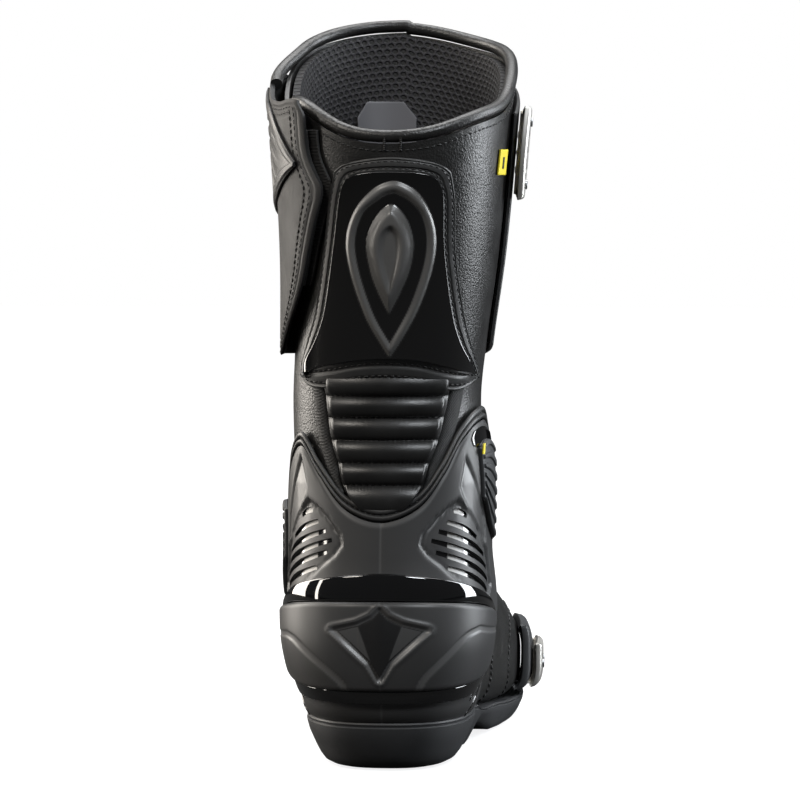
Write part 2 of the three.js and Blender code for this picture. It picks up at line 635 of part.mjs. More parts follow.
// Rows climb from the flap's foot to the top edge, and columns run from the root to the rear edge.
const flapPlace = (s, t, inset = 0) => {
  let degrees = flapRoot, z = flapFoot;
  for (let i = 0; i < 4; i++) {
    z = lerp(flapFoot + inset, collarHeight(degrees) - flapTopGap - inset, t);
    degrees = lerp(flapRoot + inset * degreesPerMm, flapEdgeAt(z) - inset * degreesPerMm, s);
  }
  return onShaft(degrees, z);
};
// The flap leaves the leather at its sewn root and rises over the zip.
const flapRise = (degrees) => lerp(layerGap, depth.flap[0], soften(degrees, flapRoot, flapRoot + 9));
const flapDegrees = (s, t) => {
  const z = lerp(flapFoot, collarHeight(-75), t);
  return lerp(flapRoot, flapEdgeAt(z), s);
};
const flapColumns = 8;
add("closure_flap", shell({
  columns: flapColumns,
  rows: 9,
  place: (s, t) => flapPlace(s, t),
  inner: (s, t) => flapRise(flapDegrees(s, t)),
  outer: (s, t) => flapRise(flapDegrees(s, t)) + flapThick,
}), leather);
// Hook tape inside the flap's rear edge, and the loop tape on the quarter that it grips.
const tapeWide = 14, tapeLow = 0.3, tapeHigh = 0.93;
const tapePlace = (from, toLow, toHigh) => (s, t) => {
  const z = lerp(flapFoot, collarHeight(-40) - flapTopGap, lerp(tapeLow, tapeHigh, t));
  return onShaft(flapEdgeAt(z) + lerp(from, lerp(toLow, toHigh, t), s) * degreesPerMm, z);
};
add("flap_hook_tape", sheet(tapePlace(-tapeWide, -1.5, -1.5), 2, 6, depth.hook), webbing);
add("loop_tape", sheet(tapePlace(-tapeWide + 3, 1, 3), 2, 6, depth.loop), webbing);
// Ribbed wing pad on the outside of the flap: an arrow shape pointing back.
const padLow = through([[flapRoot + 16, gradeZ(262)], [-68, gradeZ(268)], [-41, gradeZ(283)]]);
const padHigh = through([[flapRoot + 16, gradeZ(320)], [-68, gradeZ(306)], [-40, gradeZ(286)]]);
add("flap_wing_pad", sheet(onLeg(between(padLow, padHigh)), 5, 4, depth.pad), matteShell);

// ---------------------------------------------------------------- calf
// The rear centre line leans outwards as it climbs.
const leanAt = (z) => 5 * grade.x * clamp((z - gradeZ(140)) / (gradeZ(280) - gradeZ(140)), 0, 1);
// A place on the rear given across the boot in millimetres and up in millimetres.
function fromRear(x, z) {
  const leg = legAt(z), middle = (leg.left + leg.right) / 2, half = (leg.right - leg.left) / 2;
  const across = clamp((x + leanAt(z) - middle) / half, -0.97, 0.97);
  const back = (legCentreY - leg.rear) * (1 - Math.abs(across) ** power.leg) ** (1 / power.leg);
  return onShaft(THREE.MathUtils.radToDeg(Math.atan2(across * half, back)), z);
}
const onRear = (outline) => (s, t) => fromRear(...outline(s, t));
const width = (x) => x * grade.x;
const rearEdge = (pairs) => through(pairs.map(([x, z]) => [width(x), gradeZ(z)]));
function rearPatch(grow) {
  const level = (z, half, rise) => rearEdge([
    [-half - grow, z + rise * grow], [0, z + 3 + 1.1 * rise * grow], [half + grow, z + rise * grow],
  ]);
  const side = (sign) => rearEdge([
    [33, 187 - grow], [35.5, 194], [29.5, 214], [26, 245], [24.5, 270], [21, 278 + grow],
  ].map(([x, z]) => [sign * (x + grow), z]));
  return coons(level(187, 33, -1), level(278, 21, 1), side(-1), side(1));
}
const borderWidth = 5;
const rearShell = (outline, columns, rows, depths) => sheet(onRear(outline), columns, rows, depths);
add("calf_plate_border", rearShell(rearPatch(borderWidth), 8, 10, depth.border), leather);
// Teardrop ring and boss, raised on the gloss plate.
const dropHalf = (share) => Math.sin(Math.PI * share ** 0.78) ** 0.9;
function drop(foot, top, half, share, side) {
  return [side * width(half) * dropHalf(share), gradeZ(lerp(foot, top, share))];
}
const ringSteps = 16, ringWidth = 3;
const ringPath = Array.from({ length: 2 * ringSteps }, (_, i) => {
  const share = i <= ringSteps ? i / ringSteps : 2 - i / ringSteps;
  return drop(197, 275, 20, clamp(share, 0.001, 0.999), i <= ringSteps ? 1 : -1);
});
const reliefSink = 0.6, ringRise = 1.4;
function ringSolid() {
  const points = [], faces = [], n = ringPath.length;
  const [cx, cz] = [0, gradeZ(236)];
  const place = (k, shrink) =>
    fromRear(cx + (ringPath[k][0] - cx) * shrink, cz + (ringPath[k][1] - cz) * shrink);
  const low = depth.plate[1] - reliefSink, high = depth.plate[1] + ringRise;
  const inner = 1 - ringWidth / 20;
  [[1, low], [1, high], [inner, high], [inner, low]].forEach(([shrink, offset]) => {
    for (let k = 0; k < n; k++) {
      const { point, normal } = place(k, shrink);
      points.push(point.addScaledVector(normal, offset));
    }
  });
  for (let r = 0; r < 4; r++)
    for (let i = 0; i < n; i++) {
      const j = (i + 1) % n, a = r * n, b = ((r + 1) % 4) * n;
      faces.push([a + i, a + j, b + j], [a + i, b + j, b + i]);
    }
  return solidFrom(points, faces);
}
const bossOutline = (s, t) => {
  const [x, z] = drop(215, 265, 11, lerp(0.03, 0.97, t), 1);
  return [lerp(-x, x, s), z];
};
const bossSolid = shell({
  columns: 4,
  rows: 8,
  place: onRear(bossOutline),
  inner: depth.plate[1] - reliefSink,
  outer: (s, t) => depth.plate[1] + 0.4 + 3 * Math.sin(Math.PI * s) * Math.sin(Math.PI * clamp(t, 0.1, 0.9)),
});
const calfPlate = rearShell(rearPatch(0), 8, 10, depth.plate);
add("calf_plate", calfPlate.add(ringSolid()).add(bossSolid).simplify(0.04), glossShell);

// Quilted stretch panel over the heel tendon.
const tendonPanel = coons(
  rearEdge([[-9, 137], [0, 129], [9, 137]]),
  rearEdge([[-28, 176], [0, 179], [28, 176]]),
  rearEdge([[-9, 137], [-16, 148], [-22, 162], [-28, 176]]),
  rearEdge([[9, 137], [16, 148], [22, 162], [28, 176]]),
);
add("tendon_panel", rearShell(tendonPanel, 7, 10, depth.quilt), leather);

// ---------------------------------------------------------------- ankle frame and heel guard
const frameFoot = (degrees) =>
  feather(legCentreY - 50 * Math.cos(rad(degrees))) + soleCup + 3.2 + 8 * soften(Math.abs(degrees), 85, 118);
const heelEdge = (pairs) => through(pairs.map(([degrees, z]) => [degrees, gradeZ(z)]));
// The frame's upper edge round the heel: a V at the back and peaks at the sides.
const frameTop = heelEdge([
  [-118, 86], [-100, 98], [-84, 112], [-70, 128], [-60, 146], [-48, 152], [-34, 142], [-18, 126],
  [0, 117], [18, 127], [32, 142], [46, 155], [64, 162.5], [82, 159], [100, 128], [118, 92],
]);
const frameRows = [0, 0.06, 0.15, 0.28, 0.45, 0.63, 0.82, 1]; // closer together where the heel rounds under
const frameOutline = (s, t) => {
  const high = frameTop(s);
  return [high.x, lerp(frameFoot(high.x), high.y, frameRows[Math.round(t * (frameRows.length - 1))])];
};
const frameShell = shell({
  columns: 30,
  rows: frameRows.length - 1,
  place: onLeg(frameOutline),
  inner: depth.frame[0],
  outer: depth.frame[1],
});
// Leaf-shaped gloss inserts lie in pockets behind the frame and show through six slanted slots.
const leaf = (side, grow) => {
  const at = (pairs) => through(pairs.map(([degrees, z, sign]) => [side * degrees, gradeZ(z) + sign * grow]));
  return between(
    at([[19 - grow, 101, -1], [34, 88, -1], [55, 84, -1], [80 + grow, 88, -1]]),
    at([[20 - grow, 106, 1], [36, 122, 1], [56, 122, 1], [78 + grow, 102, 1]]),
  );
};
const ventSlots = [
  [42.5, 119.5, 8], [44.5, 112.5, 18], [47, 106.5, 29], [47, 100.5, 34], [48, 94.5, 34], [50, 88.5, 27],
];
const ventSlope = 0.33; // fall of a slot towards the front, in millimetres per degree
let frame = frameShell;
[["medial", -1], ["lateral", 1]].forEach(([name, side]) => {
  const pocket = sheet(onLeg(leaf(side, 1)), 5, 4, [-0.5, depth.vent[1] + layerGap]);
  frame = frame.subtract(pocket);
  ventSlots.forEach(([degrees, z, length]) => {
    const at = onShaft(side * degrees, gradeZ(z));
    const end = (step) => onShaft(side * (degrees + step), gradeZ(z) - ventSlope * step).point;
    const slot = toSolid(roundedBar(3, length, frameThick + 5, 1.2, 1));
    frame = frame.subtract(placed(slot.translate([0, 0, depth.vent[1]]), frameAt(at, end(8).sub(end(-8)))));
  });
  add(`vent_insert_${name}`, sheet(onLeg(leaf(side, 0)), 5, 4, depth.vent), glossShell);
});
add("ankle_frame", frame.simplify(0.05), matteShell);
// Padded trim that runs along the top of the frame.
const trimFrom = 0.06, trimTo = 0.94;
add("frame_collar", shell({
  columns: 30,
  rows: 1,
  place: (s, t) => {
    const edge = frameTop(lerp(trimFrom, trimTo, s));
    return onShaft(edge.x, edge.y + clearance * 3 + t * collarWidth);
  },
  inner: depth.frame[0],
  outer: depth.frame[1],
}), leather);

const guardLow = heelEdge([[-86, 62], [-70, 50], [-46, 43], [0, 41], [46, 43], [70, 51], [86, 60]]);
const guardHigh = heelEdge([
  [-86, 65], [-70, 69], [-46, 74], [-16, 79], [0, 80], [16, 79], [46, 74], [70, 69], [86, 63],
]);
const lowBand = heelEdge([[-80, 52], [-66, 44], [-42, 36.5], [0, 34], [42, 36.5], [66, 44], [80, 52]]);
const lowBandTop = heelEdge([
  [-80, 53.5], [-66, 46.3], [-42, 41.2], [0, 39.9], [42, 41.2], [66, 46.8], [80, 53.5],
]);
const highBand = heelEdge([
  [-66, 71.4], [-46, 75.2], [-16, 80.2], [0, 81.1], [16, 80.2], [46, 75.2], [66, 71.4],
]);
const highBandTop = heelEdge([[-66, 72.4], [-46, 80], [-22, 90], [0, 93.2], [22, 90], [46, 80], [66, 72.4]]);
const heelShell = (low, high, columns, rows, [inner, outer], extra = 0) =>
  shell({ columns, rows, place: onLeg(between(low, high)), inner: inner + extra, outer: outer + extra });
const kite = { half: 18.4, top: 75, side: 66.5, foot: 47, recess: 1.2 };
const kiteAt = (grow) => (s, t) => {
  const [h, low, high] = [kite.half + grow, kite.foot - 1.6 * grow, kite.top + grow];
  const x = lerp(-h, h, s), share = Math.abs(2 * s - 1) ** 1.05;
  return [width(x), gradeZ(lerp(lerp(low, kite.side - 0.4, share), lerp(high, kite.side + 0.4, share), t))];
};
const kiteCut = rearShell(kiteAt(0), 8, 2, [depth.guard[1] - kite.recess, depth.guard[1] + 6]);
add("heel_guard", heelShell(guardLow, guardHigh, 22, 5, depth.guard).subtract(kiteCut), matteShell);
const badgeDepth = [depth.guard[1] - kite.recess + clearance, depth.guard[1] + clearance];
add("heel_badge", rearShell(kiteAt(-1.2), 8, 2, badgeDepth), matteShell);
add("heel_band_lower", heelShell(lowBand, lowBandTop, 20, 1, depth.band), glossShell);
add("heel_band_upper", heelShell(highBand, highBandTop, 20, 2, depth.band), glossShell);

// Ribbed guard over each ankle bone, on the frame.
const bonePatch = (side, lift, turn) => {
  const at = (pairs) => through(pairs.map(([degrees, z]) => [side * (degrees + turn), gradeZ(z + lift)]));
  return between(at([[61, 127], [70, 114], [82, 106]]), at([[60, 149], [71, 153], [84, 148]]));
};
[["medial", -1, -30, 14], ["lateral", 1, 0, 0]].forEach(([name, side, lift, turn]) =>
  add(`ankle_bone_guard_${name}`, shell({
    columns: 3,
    rows: 5,
    place: onLeg(bonePatch(side, lift, turn)),
    inner: depth.frame[1] + layerGap,
    outer: depth.frame[1] + layerGap + 2,
  }), rubber));

// ---------------------------------------------------------------- shin
const shinLow = through([
  [-118, gradeZ(205)], [-150, gradeZ(193)], [-182, gradeZ(188)], [-222, gradeZ(190)], [-268, gradeZ(198)],
]);
const shinHigh = through([
  [-112, gradeZ(314)], [-150, gradeZ(332)], [-182, gradeZ(340)], [-222, gradeZ(329)], [-277, gradeZ(309)],
]);
add("shin_plate", sheet(onLeg(between(shinLow, shinHigh)), 16, 8, depth.shin), matteShell);
const sliderDegrees = -271; // the outer side of the shaft, 89 degrees from the back
const shinSlideLow = gradeZ(268), shinSlideHigh = gradeZ(313);
const shinSlideWidth = 22;
const shinSlide = (s, t) => [
  sliderDegrees + lerp(-0.5, 0.5, s) * lerp(0.75, 1, Math.sin(Math.PI * t)) * shinSlideWidth * degreesPerMm,
  lerp(shinSlideLow, shinSlideHigh, t),
];
const shinSlideDepth = [depth.shin[1] + layerGap, depth.shin[1] + layerGap + metalPlateThick];
const screwHead = (place, offset, along) => {
  const geometry = new THREE.CylinderGeometry(plateScrewRadius, plateScrewRadius, 1.4, 12);
  geometry.rotateX(Math.PI / 2).translate(0, 0, offset + 0.7 + 0.3);
  return placed(toSolid(geometry), frameAt(place, along));
};
add("shin_slider", sheet(onLeg(shinSlide), 3, 5, shinSlideDepth), metal);
const upwards = new THREE.Vector3(0, 0, 1), forwards = new THREE.Vector3(0, 1, 0);
[["low", 0.2], ["high", 0.8]].forEach(([name, share]) => {
  const head = screwHead(onShaft(...shinSlide(0.5, share)), shinSlideDepth[1], upwards);
  add(`shin_slider_screw_${name}`, head, steel);
});

// Quilted stretch panel over the instep, in front of the ankle.
const instepHalf = 34;
add("instep_panel", shell({
  columns: 6,
  rows: 7,
  place: (s, t) => onAnkle(180 + lerp(-instepHalf, instepHalf, s), lerp(1, 62, t)),
  inner: depth.quilt[0],
  outer: depth.quilt[1],
}), leather);

// ---------------------------------------------------------------- toe
// Moulded toe cap round the front of the vamp, above the sole's edge.
const toeDepth = [stackGap + 0.4, stackGap + 2.2];
const capFrom = -110, capTo = 76;
add("toe_cap", shell({
  columns: 24,
  rows: 4,
  place: (s, t) => {
    const around = rad(lerp(capFrom, capTo, s));
    const height = feather(toeCentreY) + soleCup + lerp(8, 34, t);
    return cast([footMiddle(toeCentreY), toeCentreY, height], [Math.sin(around), Math.cos(around), 0]);
  },
  inner: toeDepth[0],
  outer: toeDepth[1],
}), matteShell);
// Rubber pad on top of the toe, where the lever rubs.
add("lever_pad", shell({
  columns: 5,
  rows: 5,
  place: (s, t) => onFoot(180 + lerp(-4, 46, s), gradeY(lerp(150, 196, t))),
  inner: layerGap,
  outer: layerGap + 2,
}), rubber);
// Toe slider: a black rubber mount on the outer side, a metal plate on it and two screws.
const mountDepth = [stackGap + 0.4, stackGap + 5.4];
const mountPlace = (lowZ, highZ, fromY, toY) => (s, t) => {
  const y = gradeY(lerp(fromY, toY, s)), z = lerp(lowZ, highZ, t);
  return { point: cast([footMiddle(y), y, z], [1, 0, 0]).point, normal: new THREE.Vector3(1, 0, 0) };
};
const mountLow = feather(gradeY(175)) + soleCup + 1.2;
add("toe_slider_mount", sheet(mountPlace(mountLow, mountLow + 36, 150, 196), 5, 4, mountDepth), rubber);
const toePlateDepth = [mountDepth[1] + layerGap, mountDepth[1] + layerGap + metalPlateThick];
const toePlatePlace = mountPlace(mountLow + 1, mountLow + 24, 154, 192);
add("toe_slider_plate", sheet(toePlatePlace, 4, 4, toePlateDepth), metal);
[["rear", 0.2], ["front", 0.8]].forEach(([name, share]) =>
  add(`toe_slider_screw_${name}`, screwHead(toePlatePlace(share, 0.5), toePlateDepth[1], forwards), steel));

// ---------------------------------------------------------------- small trim
// Sewn-in size tag on the outer side, and the label on the lining inside the shin.
add("size_tag", shell({
  columns: 2,
  rows: 1,
  place: (s, t) => onShaft(lerp(57, 69, s), gradeZ(lerp(283, 293, t))),
  inner: layerGap,
  outer: layerGap + tagThick,
}), yellow);
const labelDepth = -leatherThick - liningGap - shaftLiningThick - stackGap;
add("lining_label", shell({
  columns: 3,
  rows: 2,
  place: (s, t) => onShaft(lerp(177, 197, s), gradeZ(lerp(300, 318, t))),
  inner: labelDepth - tagThick,
  outer: labelDepth,
}), webbing);

export default boot;
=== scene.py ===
# %% [markdown]
# # A motorcycle riding boot
# The boot is a leather sock with hard and padded pieces laid on it in layers. Its measured frame (the
# solids, the joints and their places) is loaded first, and nothing below moves or resizes it. Every
# visible piece is then made again as a finer mesh in the same place, in metres, with +X to the outer
# side, +Y to the toe and +Z up.

import bmesh
import bpy
import numpy as np
from mathutils import Matrix, Vector


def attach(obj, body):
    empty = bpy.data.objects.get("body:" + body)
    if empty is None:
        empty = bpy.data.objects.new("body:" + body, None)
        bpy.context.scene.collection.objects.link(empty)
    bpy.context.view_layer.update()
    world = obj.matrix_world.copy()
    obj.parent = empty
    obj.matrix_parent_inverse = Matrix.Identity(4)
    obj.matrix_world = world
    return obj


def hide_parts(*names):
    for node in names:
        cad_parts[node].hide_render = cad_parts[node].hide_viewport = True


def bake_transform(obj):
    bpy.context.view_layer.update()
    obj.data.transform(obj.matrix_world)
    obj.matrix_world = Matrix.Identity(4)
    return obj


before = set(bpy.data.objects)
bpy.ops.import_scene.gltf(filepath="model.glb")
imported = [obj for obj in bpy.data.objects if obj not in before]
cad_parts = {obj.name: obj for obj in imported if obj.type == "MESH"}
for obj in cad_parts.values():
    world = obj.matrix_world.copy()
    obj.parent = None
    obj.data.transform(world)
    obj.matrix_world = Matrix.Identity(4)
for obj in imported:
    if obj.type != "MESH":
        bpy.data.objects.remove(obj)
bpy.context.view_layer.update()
MM = 0.001

# %% [markdown]
# ## The last
# A shoemaker pulls the leather over a wooden last, so one smooth surface decides the whole upper. Here
# the last is two tubes, a leg and a foot, each a stack of rounded outlines, melted together at the
# instep. A point is on the leather where this field is zero. A field is used, and not one sculpted mesh,
# because any panel can then be laid on the surface by sending rays out from the middle of the boot.

# %% Outlines of the leg and the foot, in millimetres
LEG = np.array([(22, -36.5, 37.5, -41, 60), (38, -39, 40, -44, 64), (50, -42.5, 42.8, -46, 68),
                (62, -44.6, 44.8, -46.5, 72), (80, -45.3, 45.4, -44.5, 75), (100, -45, 44.8, -41, 77),
                (136, -45.6, 45.3, -36, 78), (172, -46.5, 43.2, -35, 75), (200, -45.5, 46, -39, 73),
                (243, -45.5, 52, -46, 75), (290, -48, 56.5, -51.5, 80), (352, -53.5, 61.5, -54.5, 87)],
               float)
FOOT = np.array([(-20, -28, 29, 18.5, 60), (20, -36, 37, 18.5, 112), (60, -39.5, 43.5, 15.5, 124),
                 (90, -41.5, 46.5, 13, 112), (120, -45, 50.5, 10.5, 94), (150, -48, 54, 9.5, 80),
                 (180, -48.5, 54, 9.5, 70), (215, -47, 48, 11.5, 62), (266, -46, 32, 17, 54)], float)
LEG_CENTRE, LEG_FLOOR, HEEL_LIFT, TOE_START, TOE_TIP = 15.0, 34.0, 18.5, 200.0, 266.0
PIVOT_Y, SHAFT_FOOT = 112.0, 172.0


def station(table, column, at):
    """Smooth value between given stations."""
    x, y = table[:, 0], table[:, column]
    slope = np.gradient(y, x, edge_order=1)
    slope[1:-1] = (y[2:] - y[:-2]) / (x[2:] - x[:-2])
    at = np.clip(at, x[0], x[-1])
    i = np.clip(np.searchsorted(x, at) - 1, 0, len(x) - 2)
    h = x[i + 1] - x[i]
    u = (at - x[i]) / h
    return ((2 * u**3 - 3 * u**2 + 1) * y[i] + (u**3 - 2 * u**2 + u) * h * slope[i]
            + (3 * u**2 - 2 * u**3) * y[i + 1] + (u**3 - u**2) * h * slope[i + 1])


def ease(v, start, end):
    """0 before start, 1 after end, soft between."""
    t = np.clip((v - start) / (end - start), 0, 1)
    return t * t * (3 - 2 * t)


def rounded(power, *terms):
    return (sum(np.abs(t) ** power for t in terms) + 1e-9) ** (1 / power)


# %% The field of the last
def last_field(p):
    """Distance, near enough, from the leather's outer face: negative inside the boot."""
    x, y, z = p[..., 0], p[..., 1], p[..., 2]
    left, right, back, front = (station(LEG, k, z) for k in (1, 2, 3, 4))
    lx, ly, lz = x - (left + right) / 2, y - LEG_CENTRE, np.minimum(0, z - LEG_FLOOR)
    depth = np.where(ly < 0, LEG_CENTRE - back, front - LEG_CENTRE)
    plan = rounded(2.6 - 0.35 * ease(z, 50, 110), lx / ((right - left) / 2), ly / depth)
    root = rounded(3.6, plan, lz / (LEG_FLOOR - HEEL_LIFT))
    leg = np.sqrt(lx**2 + ly**2 + lz**2) * (1 - 1 / root)
    left, right, low, high = (station(FOOT, k, y) for k in (1, 2, 3, 4))
    middle = low + 0.4 * (high - low)
    fx, fz = x - (left + right) / 2, z - middle
    toe, heel = np.maximum(0, y - TOE_START), np.minimum(0, y)
    power = np.where(fz < 0, 5.0, 2.1)
    across = rounded(power, fx / ((right - left) / 2), fz / np.where(fz < 0, middle - low, high - middle))
    root = rounded(2.3, across, toe / (TOE_TIP - TOE_START), heel / 40)
    foot = np.sqrt(fx**2 + fz**2 + toe**2 + heel**2) * (1 - 1 / root)
    melt = 1.5 + 16.5 * ease(z, 30, 75)
    near = np.maximum(melt - np.abs(leg - foot), 0) / melt
    return np.minimum(leg, foot) - near * near * melt / 4


def cast(centre, way):
    """Where rays from inside the boot meet the leather, and the outward normals there."""
    reach, last = np.full(way.shape[:-1], 15.0), None
    for _ in range(40):
        value = last_field(centre + way * reach[..., None])
        if np.abs(value).max() < 1e-4:
            break
        slope = 1.0
        if last is not None:
            moved = np.where(np.abs(reach - last[0]) < 1e-9, 1e-9, reach - last[0])
            slope = np.clip((value - last[1]) / moved, 0.4, 1.4)
        last = (reach, value)
        reach = np.maximum(reach - value / slope, 0.5)
    p = centre + way * reach[..., None]
    step = 0.4 * np.eye(3)
    slope = np.stack([last_field(p + step[k]) - last_field(p - step[k]) for k in range(3)], -1)
    return p, slope / np.linalg.norm(slope, axis=-1, keepdims=True)


# %% [markdown]
# ## Four ways to lay a point on the boot
# A place on the shaft is an angle and a height, and a place on the foot is an angle and a distance
# forward. The ankle is a fan about the instep, and the toe closes to one point. Angle 0 is the back of
# the leg and the middle of the sole, +90 degrees is the outer side and 180 is the shin and the top of the
# foot.

# %% Rays for the shaft, ankle, foot and toe
def leg_middle(z):
    return (station(LEG, 1, z) + station(LEG, 2, z)) / 2


def foot_middle(y):
    return (station(FOOT, 1, y) + station(FOOT, 2, y)) / 2


def foot_middle_z(y):
    return 0.6 * station(FOOT, 3, y) + 0.4 * station(FOOT, 4, y)


def stack(*parts):
    return np.stack(np.broadcast_arrays(*parts), -1).astype(float)


def on_leg(degrees, z):
    a = np.radians(degrees)
    return cast(stack(leg_middle(z), LEG_CENTRE + 0 * a, z), stack(np.sin(a), -np.cos(a), 0 * a + 0 * z))


def on_ankle(degrees, turn):
    a, t, share = np.radians(degrees), np.radians(turn), turn / 90
    reach = (PIVOT_Y - LEG_CENTRE) * (1 - share) + (SHAFT_FOOT - foot_middle_z(PIVOT_Y)) * share
    middle = leg_middle(SHAFT_FOOT) * (1 - share) + foot_middle(PIVOT_Y) * share
    centre = stack(middle, PIVOT_Y - reach * np.cos(t), SHAFT_FOOT - reach * np.sin(t))
    return cast(centre, stack(np.sin(a), -np.cos(a) * np.cos(t), -np.cos(a) * np.sin(t)))


def on_foot(degrees, y):
    a = np.radians(degrees)
    return cast(stack(foot_middle(y), y, foot_middle_z(y)), stack(np.sin(a), 0 * a + 0 * y, -np.cos(a)))


def on_toe(degrees, tilt):
    a, t = np.radians(degrees), np.radians(tilt)
    centre = stack(foot_middle(TOE_START) + 0 * a, TOE_START + 0 * t, foot_middle_z(TOE_START) + 0 * a)
    return cast(centre, stack(np.sin(a) * np.cos(t), np.sin(t) + 0 * a, -np.cos(a) * np.cos(t)))


def on_back(x, z):
    """A place on the back of the boot, given across and up as seen from behind."""
    left, right, back = (station(LEG, k, z) for k in (1, 2, 3))
    half, middle = (right - left) / 2, (left + right) / 2
    across = np.clip((x - middle) / half, -0.97, 0.97)
    depth = (LEG_CENTRE - back) * (1 - np.abs(across) ** 2.25) ** (1 / 2.25)
    return on_leg(np.degrees(np.arctan2(across * half, depth)), z)


def rim_height(degrees):
    """The top edge: a soft V at the back, high at the shin."""
    turn = (np.asarray(degrees, float) + 180) % 360 - 180
    lobes = ((-42, 22, 9), (38, 22, 4.5), (0, 20, 1.5), (150, 28, -4.5))
    added = sum(high * np.exp(-(((turn - a) / wide) ** 2)) for a, wide, high in lobes)
    return 352 - 28.5 - 28.5 * np.cos(np.radians(turn)) + added


print("back of the heel:", np.round(on_leg(np.array([0.0]), np.array([60.0]))[0], 1))

# %% [markdown]
# ## Cutting and wrapping a panel
# A real panel is cut flat, pulled over the last and has a thickness. The same steps work here: a grid
# primitive is the flat piece, each of its points is moved to its place on the last, and a Solidify
# modifier gives it its substance. Bevel rounds the cut edge, because light catches a rounded edge and a
# sharp one looks like paper.

# %% Panel helpers
def activate(obj):
    bpy.ops.object.select_all(action="DESELECT")
    obj.select_set(True)
    bpy.context.view_layer.objects.active = obj


def edit(obj, *steps):
    """Runs edit-mode steps on the whole mesh."""
    activate(obj)
    bpy.ops.object.mode_set(mode="EDIT")
    bpy.ops.mesh.select_all(action="SELECT")
    for step in steps:
        step()
    bpy.ops.object.mode_set(mode="OBJECT")


def finish_modifier(obj, kind, **values):
    activate(obj)
    modifier = obj.modifiers.new(kind.title(), kind)
    for key, value in values.items():
        setattr(modifier, key, value)
    bpy.ops.object.modifier_apply(modifier=modifier.name)


def points_of(obj):
    co = np.empty(len(obj.data.vertices) * 3)
    obj.data.vertices.foreach_get("co", co)
    return co.reshape(-1, 3)


def move_points(obj, co):
    obj.data.vertices.foreach_set("co", np.asarray(co, float).ravel())
    obj.data.update()


def smooth(obj, degrees=38):
    activate(obj)
    bpy.ops.object.shade_smooth_by_angle(angle=np.radians(degrees))


def dress(obj, material, body=None, nodes=()):
    """Gives a piece its finish, the body it rides on and the frame nodes it stands for."""
    obj.data.materials.clear()
    obj.data.materials.append(material)
    if body:
        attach(obj, body)
    if nodes:
        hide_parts(*nodes)
    return obj


def primitive(add, name, **values):
    """One named mesh primitive, added with nothing else selected."""
    bpy.ops.object.select_all(action="DESELECT")
    add(**values)
    obj = bpy.context.object
    obj.name = obj.data.name = name
    return obj


def panel(name, place, columns, rows, lift=0.0, thick=2.0, edge=0.4, closed=False, tone=None, uv=None):
    """A flat grid wrapped on the last. lift is a height above the leather, or a function of (u, v).
    tone gives two masks from 0 to 1, satin and dark, which a toned finish reads from the UV map."""
    obj = primitive(bpy.ops.mesh.primitive_grid_add, name, x_subdivisions=columns, y_subdivisions=rows,
                    size=1)
    flat = points_of(obj)
    u, v = np.clip(flat[:, 0] + 0.5, 0, 1), np.clip(flat[:, 1] + 0.5, 0, 1)
    p, normal = place(u, v)
    height = lift(u, v) if callable(lift) else lift
    move_points(obj, (p + normal * np.reshape(height, (-1, 1))) * MM)
    uv = uv or tone
    if uv is not None:
        layer = obj.data.uv_layers[0] if obj.data.uv_layers else obj.data.uv_layers.new(name="pattern")
        at = np.empty(len(obj.data.loops), int)
        obj.data.loops.foreach_get("vertex_index", at)
        s, t = np.broadcast_arrays(*(np.asarray(part, float) for part in (*uv(u, v), u)))[:2]
        layer.data.foreach_set("uv", np.stack([s[at], t[at]], -1).ravel().astype(np.float32))
    face = obj.data.polygons[len(obj.data.polygons) // 2]
    if face.normal.dot(Vector(normal[face.vertices[0]])) < 0:
        edit(obj, bpy.ops.mesh.flip_normals)
    if closed:
        edit(obj, lambda: bpy.ops.mesh.remove_doubles(threshold=2e-5))
    if thick:
        finish_modifier(obj, "SOLIDIFY", thickness=thick * MM, offset=-1)
    if edge:
        finish_modifier(obj, "BEVEL", width=edge * MM, segments=2, limit_method="ANGLE", angle_limit=1.1)
    smooth(obj)
    print(f"{name}: {len(obj.data.polygons)} faces")
    return obj


# %% Outlines for panels
def through(pairs):
    """A smooth curve through given pairs, as a function of 0 to 1."""
    knots = np.array(pairs, float)
    last = len(knots) - 1

    def at(t):
        s = np.clip(np.asarray(t, float), 0, 1) * last
        i = np.minimum(s.astype(int), last - 1)
        w = (s - i)[..., None]
        a, b = knots[np.maximum(i - 1, 0)], knots[i]
        c, d = knots[i + 1], knots[np.minimum(i + 2, last)]
        square, cube = (2 * a - 5 * b + 4 * c - d) * w**2, (3 * b - a - 3 * c + d) * w**3
        return 0.5 * ((2 * b) + (c - a) * w + square + cube)

    return at


def between(low, high):
    return lambda u, v: (low(u).T * (1 - v) + high(u).T * v)


def framed(low, high, left, right):
    """A patch between four edges."""
    def at(u, v):
        corners = [low(np.zeros(1)).T, low(np.ones(1)).T, high(np.zeros(1)).T, high(np.ones(1)).T]
        flat = (corners[0] * (1 - u) + corners[1] * u) * (1 - v) + (corners[2] * (1 - u) + corners[3] * u) * v
        return low(u).T * (1 - v) + high(u).T * v + left(v).T * (1 - u) + right(v).T * u - flat

    return at


def laid(outline, surface=on_leg):
    return lambda u, v: surface(*outline(u, v))


def strip_of(low, high):
    """A patch on the leg between a lower and an upper line, each a list of (degrees, height)."""
    return laid(between(through(low), through(high)))


def raised_line(place, u, v, lift):
    """A line across a patch, raised above the leather, as sew() takes it."""
    p, n = place(u, v)
    return p + n * lift, n


